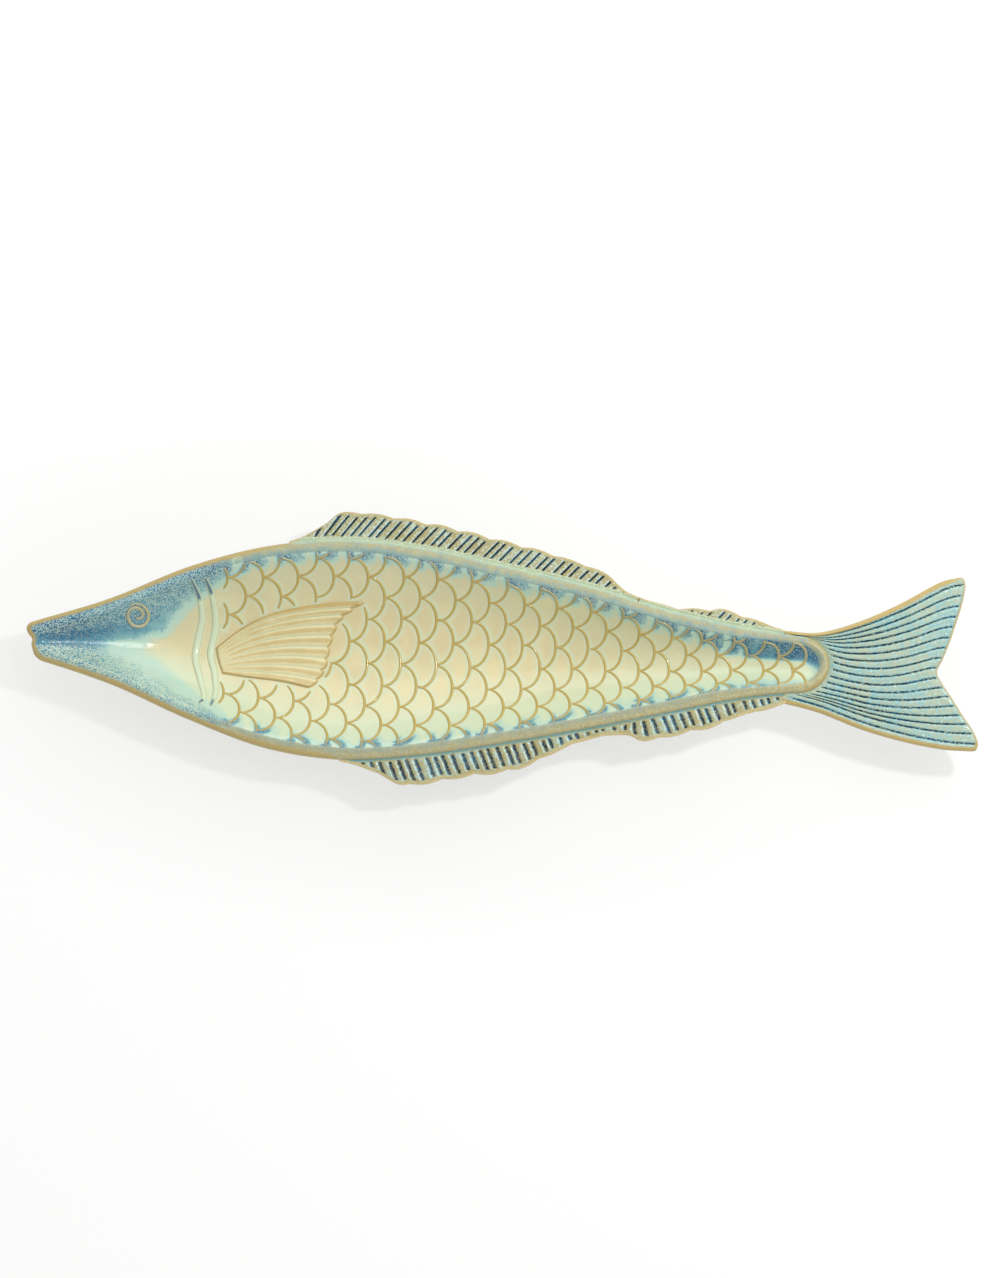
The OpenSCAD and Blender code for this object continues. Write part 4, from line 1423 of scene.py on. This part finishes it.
@dataclass(frozen=True)
class Studio:
    """Pale floor, soft light and the camera of the photograph."""

    elevation: float = 85.0
    roll: float = 1.96
    distance: float = 2.6
    width: float = 0.587
    aim: tuple[float, float, float] = (-0.0020, 0.0080, 0.034)
    sensor: float = 36.0
    sky: float = 0.66
    sky_colour: Colour = (1.0, 0.99, 0.975, 1.0)
    floor_half: float = 4
    glow_share: float = 0.6
    lamps: tuple[Lamp, ...] = (
        Lamp("key", (0.602, 0.343, 0.979), (0.08, 0.08), 4.8),
        Lamp("strip", (2.07, 1.56, 5.35), (0.1, 1.8), 24),
        Lamp("back", (0.15, 1.3, 0.95), (1.3, 1.3), 6.4),
    )

    def build(self) -> None:
        """Makes the floor, the lamps, the sky and the camera."""
        scene = bpy.context.scene
        scene.view_settings.view_transform = "Standard"
        self.floor()
        for lamp in self.lamps:
            lamp.build()
        world = bpy.data.worlds.new("studio")
        world.use_nodes = True
        back = world.node_tree.nodes["Background"]
        back.inputs["Color"].default_value = self.sky_colour
        back.inputs["Strength"].default_value = self.sky
        scene.world = world
        self.camera()

    def floor(self) -> None:
        """Makes the floor, which goes to white away from the platter and keeps a light shadow."""
        mesh, half = bpy.data.meshes.new("floor"), self.floor_half
        mesh.from_pydata([(-half, -half, 0), (half, -half, 0), (half, half, 0), (-half, half, 0)], [],
                         [(0, 1, 2, 3)])
        floor = linked("floor", mesh)
        g = Graph("floor")
        spot = g.node("ShaderNodeMapping", inputs={"Vector": g.place, "Scale": (3.0, 6.5, 1.0)}).outputs[0]
        away = Value(g, g.node("ShaderNodeVectorMath", {"operation": "LENGTH"}, {0: spot}).outputs["Value"])
        pale = g.mix(away.ease(0.75, 1.25), srgb(250, 250, 250), srgb(255, 255, 255))
        g.finish(pale, 0.6)
        path = g.node("ShaderNodeLightPath").outputs
        seen = Value(g, path["Is Camera Ray"]).most(Value(g, path["Is Glossy Ray"]))
        seen = seen.most(Value(g, path["Is Transmission Ray"]))
        glow = g.node("ShaderNodeEmission", inputs={"Color": pale, "Strength": 1.0}).outputs[0]
        both = g.node("ShaderNodeMixShader", inputs={0: seen * self.glow_share,
                                                     1: g.shader.outputs[0], 2: glow}).outputs[0]
        feed(g.tree, g.tree.nodes["Material Output"].inputs["Surface"], both)
        mesh.materials.append(g.material)

    def camera(self) -> None:
        """Adds the camera, nearly overhead, with the long lens that the photograph has."""
        data = bpy.data.cameras.new("camera")
        data.sensor_fit, data.sensor_width = "HORIZONTAL", self.sensor
        data.lens = self.sensor * self.distance / self.width
        lift, turn = math.radians(self.elevation), math.radians(self.roll)
        away = Vector((0, -math.cos(lift), math.sin(lift)))
        level, upright = Vector((1, 0, 0)), Vector((0, math.sin(lift), math.cos(lift)))
        right = math.cos(turn) * level + math.sin(turn) * upright
        up = math.cos(turn) * upright - math.sin(turn) * level
        camera = linked("camera", data)
        camera.matrix_world = (Matrix.Translation(Vector(self.aim) + away * self.distance)
                               @ Matrix((right, up, away)).transposed().to_4x4())
        bpy.context.scene.camera = camera


def settle(piece: bpy.types.Object, node: str, material: bpy.types.Material) -> None:
    """Dresses a piece and puts it in the place of a solid.

    Args:
        piece: Piece to show.
        node: Solid that it stands for.
        material: Finish of the piece.
    """
    piece.data.materials.clear()
    piece.data.materials.append(material)
    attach(piece, "root")
    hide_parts(node)
    log.info("%s: %d faces", piece.name, len(piece.data.polygons))


def fins(spine: Spine) -> list[Fin]:
    """The four fins along the rim."""
    back, belly = Side.BACK, Side.BELLY
    return [
        Fin("back_fin", "dorsal_fin", spine, back, 150, 357, 16.9, 38, 0.85, (
            (0, 0.05), (0.05, 0.24), (0.1, 0.6), (0.13, 0.9), (0.16, 1), (0.3, 0.97), (0.5, 0.92),
            (0.7, 0.86), (0.85, 0.7), (0.91, 0.58), (0.96, 0.22), (1, 0.14)), 3, 0.9),
        Fin("rear_back_fin", "rear_dorsal_fin", spine, back, 357, 445, 8.5, 38, 0.75, (
            (0, 0.29), (0.25, 0.37), (0.41, 0.68), (0.54, 1), (0.67, 0.9), (0.81, 0.64), (1, 0.2)), 4, 0.8),
        Fin("belly_fin", "pelvic_fin", spine, belly, 184, 348.3, 17.4, 22, 1.1, (
            (0, 0.05), (0.07, 0.2), (0.15, 0.55), (0.22, 0.93), (0.27, 1), (0.43, 0.95), (0.63, 0.98),
            (0.72, 0.78), (0.79, 0.56), (0.86, 0.42), (0.93, 0.36), (1, 0.42)), 5, 1.4),
        Fin("rear_belly_fin", "anal_fin", spine, belly, 348, 445, 14.5, 22, 1.0, (
            (0, 0.5), (0.07, 0.66), (0.13, 0.92), (0.2, 1), (0.37, 1), (0.6, 0.95), (0.73, 0.7),
            (0.85, 0.64), (1, 0.38)), 6, 1.3),
    ]


def main() -> None:
    """Builds the platter piece by piece, then the studio."""
    logging.basicConfig(level=logging.INFO, format="%(name)s %(message)s")
    spine, palette = Spine(), Palette()
    dish, flow = Dish(spine), GlazeFlow(spine)
    pectoral = Pectoral(dish)
    relief = LineRelief(dish, pectoral)
    scales, front, rear, eye = relief.scales(), relief.front_gill(), relief.rear_gill(), relief.eye()

    body = dish.build(ReliefField(scales, [front, rear, eye]), flow)
    settle(body, "dish", BodyGlaze(palette).make())
    settle(FootRing(spine).build(), "foot_ring", BareClay().make())

    p = palette
    fin_glaze = {
        Side.BACK: RibGlaze(p, "back_fin_glaze", p.khaki, p.stone, p.frost, p.celadon, p.ochre,
                            2.4, 0.9, 1.2).make(),
        Side.BELLY: RibGlaze(p, "belly_fin_glaze", p.khaki, p.stone, p.cyan, p.teal, p.wheat,
                             1.0, 0.85, 2.6).make(),
    }
    for fin in fins(spine):
        settle(fin.build(), fin.node, fin_glaze[fin.side])
    tail_glaze = RibGlaze(p, "tail_glaze", p.stone, p.teal, p.cyan, p.teal, p.ochre, 1.5, 0.9, 3.4)
    settle(Tail(spine).build(), "tail_fin", tail_glaze.make())

    settle(pectoral.build(), "pectoral_fin", FinReliefGlaze(p).make())
    line_glaze = LineGlaze("scale_line_glaze", p.brown, p.sand, p.blue, 0.35).make()
    gill_glaze = LineGlaze("gill_glaze", p.celadon, p.warm, p.navy, 0.85).make()
    eye_glaze = LineGlaze("eye_glaze", p.sand, p.navy, p.blue, 0.25).make()
    for name, node, lines, ridge, glaze in (
            ("scale_edges", "scales", scales, Ridge(1.8, 0.8, 0.55), line_glaze),
            ("front_gill", "front_gill_band", [front], Ridge(4.4, 1.1, 0.3), gill_glaze),
            ("rear_gill", "rear_gill_band", [rear], Ridge(4.4, 1.1, 0.3), gill_glaze),
            ("eye_curl", "eye", [eye], Ridge(2.4, 0.9, 0.5), eye_glaze)):
        settle(relief.build(name, lines, ridge, flow, glaze), node, glaze)

    Studio().build()


if __name__ == "__main__":
    main()
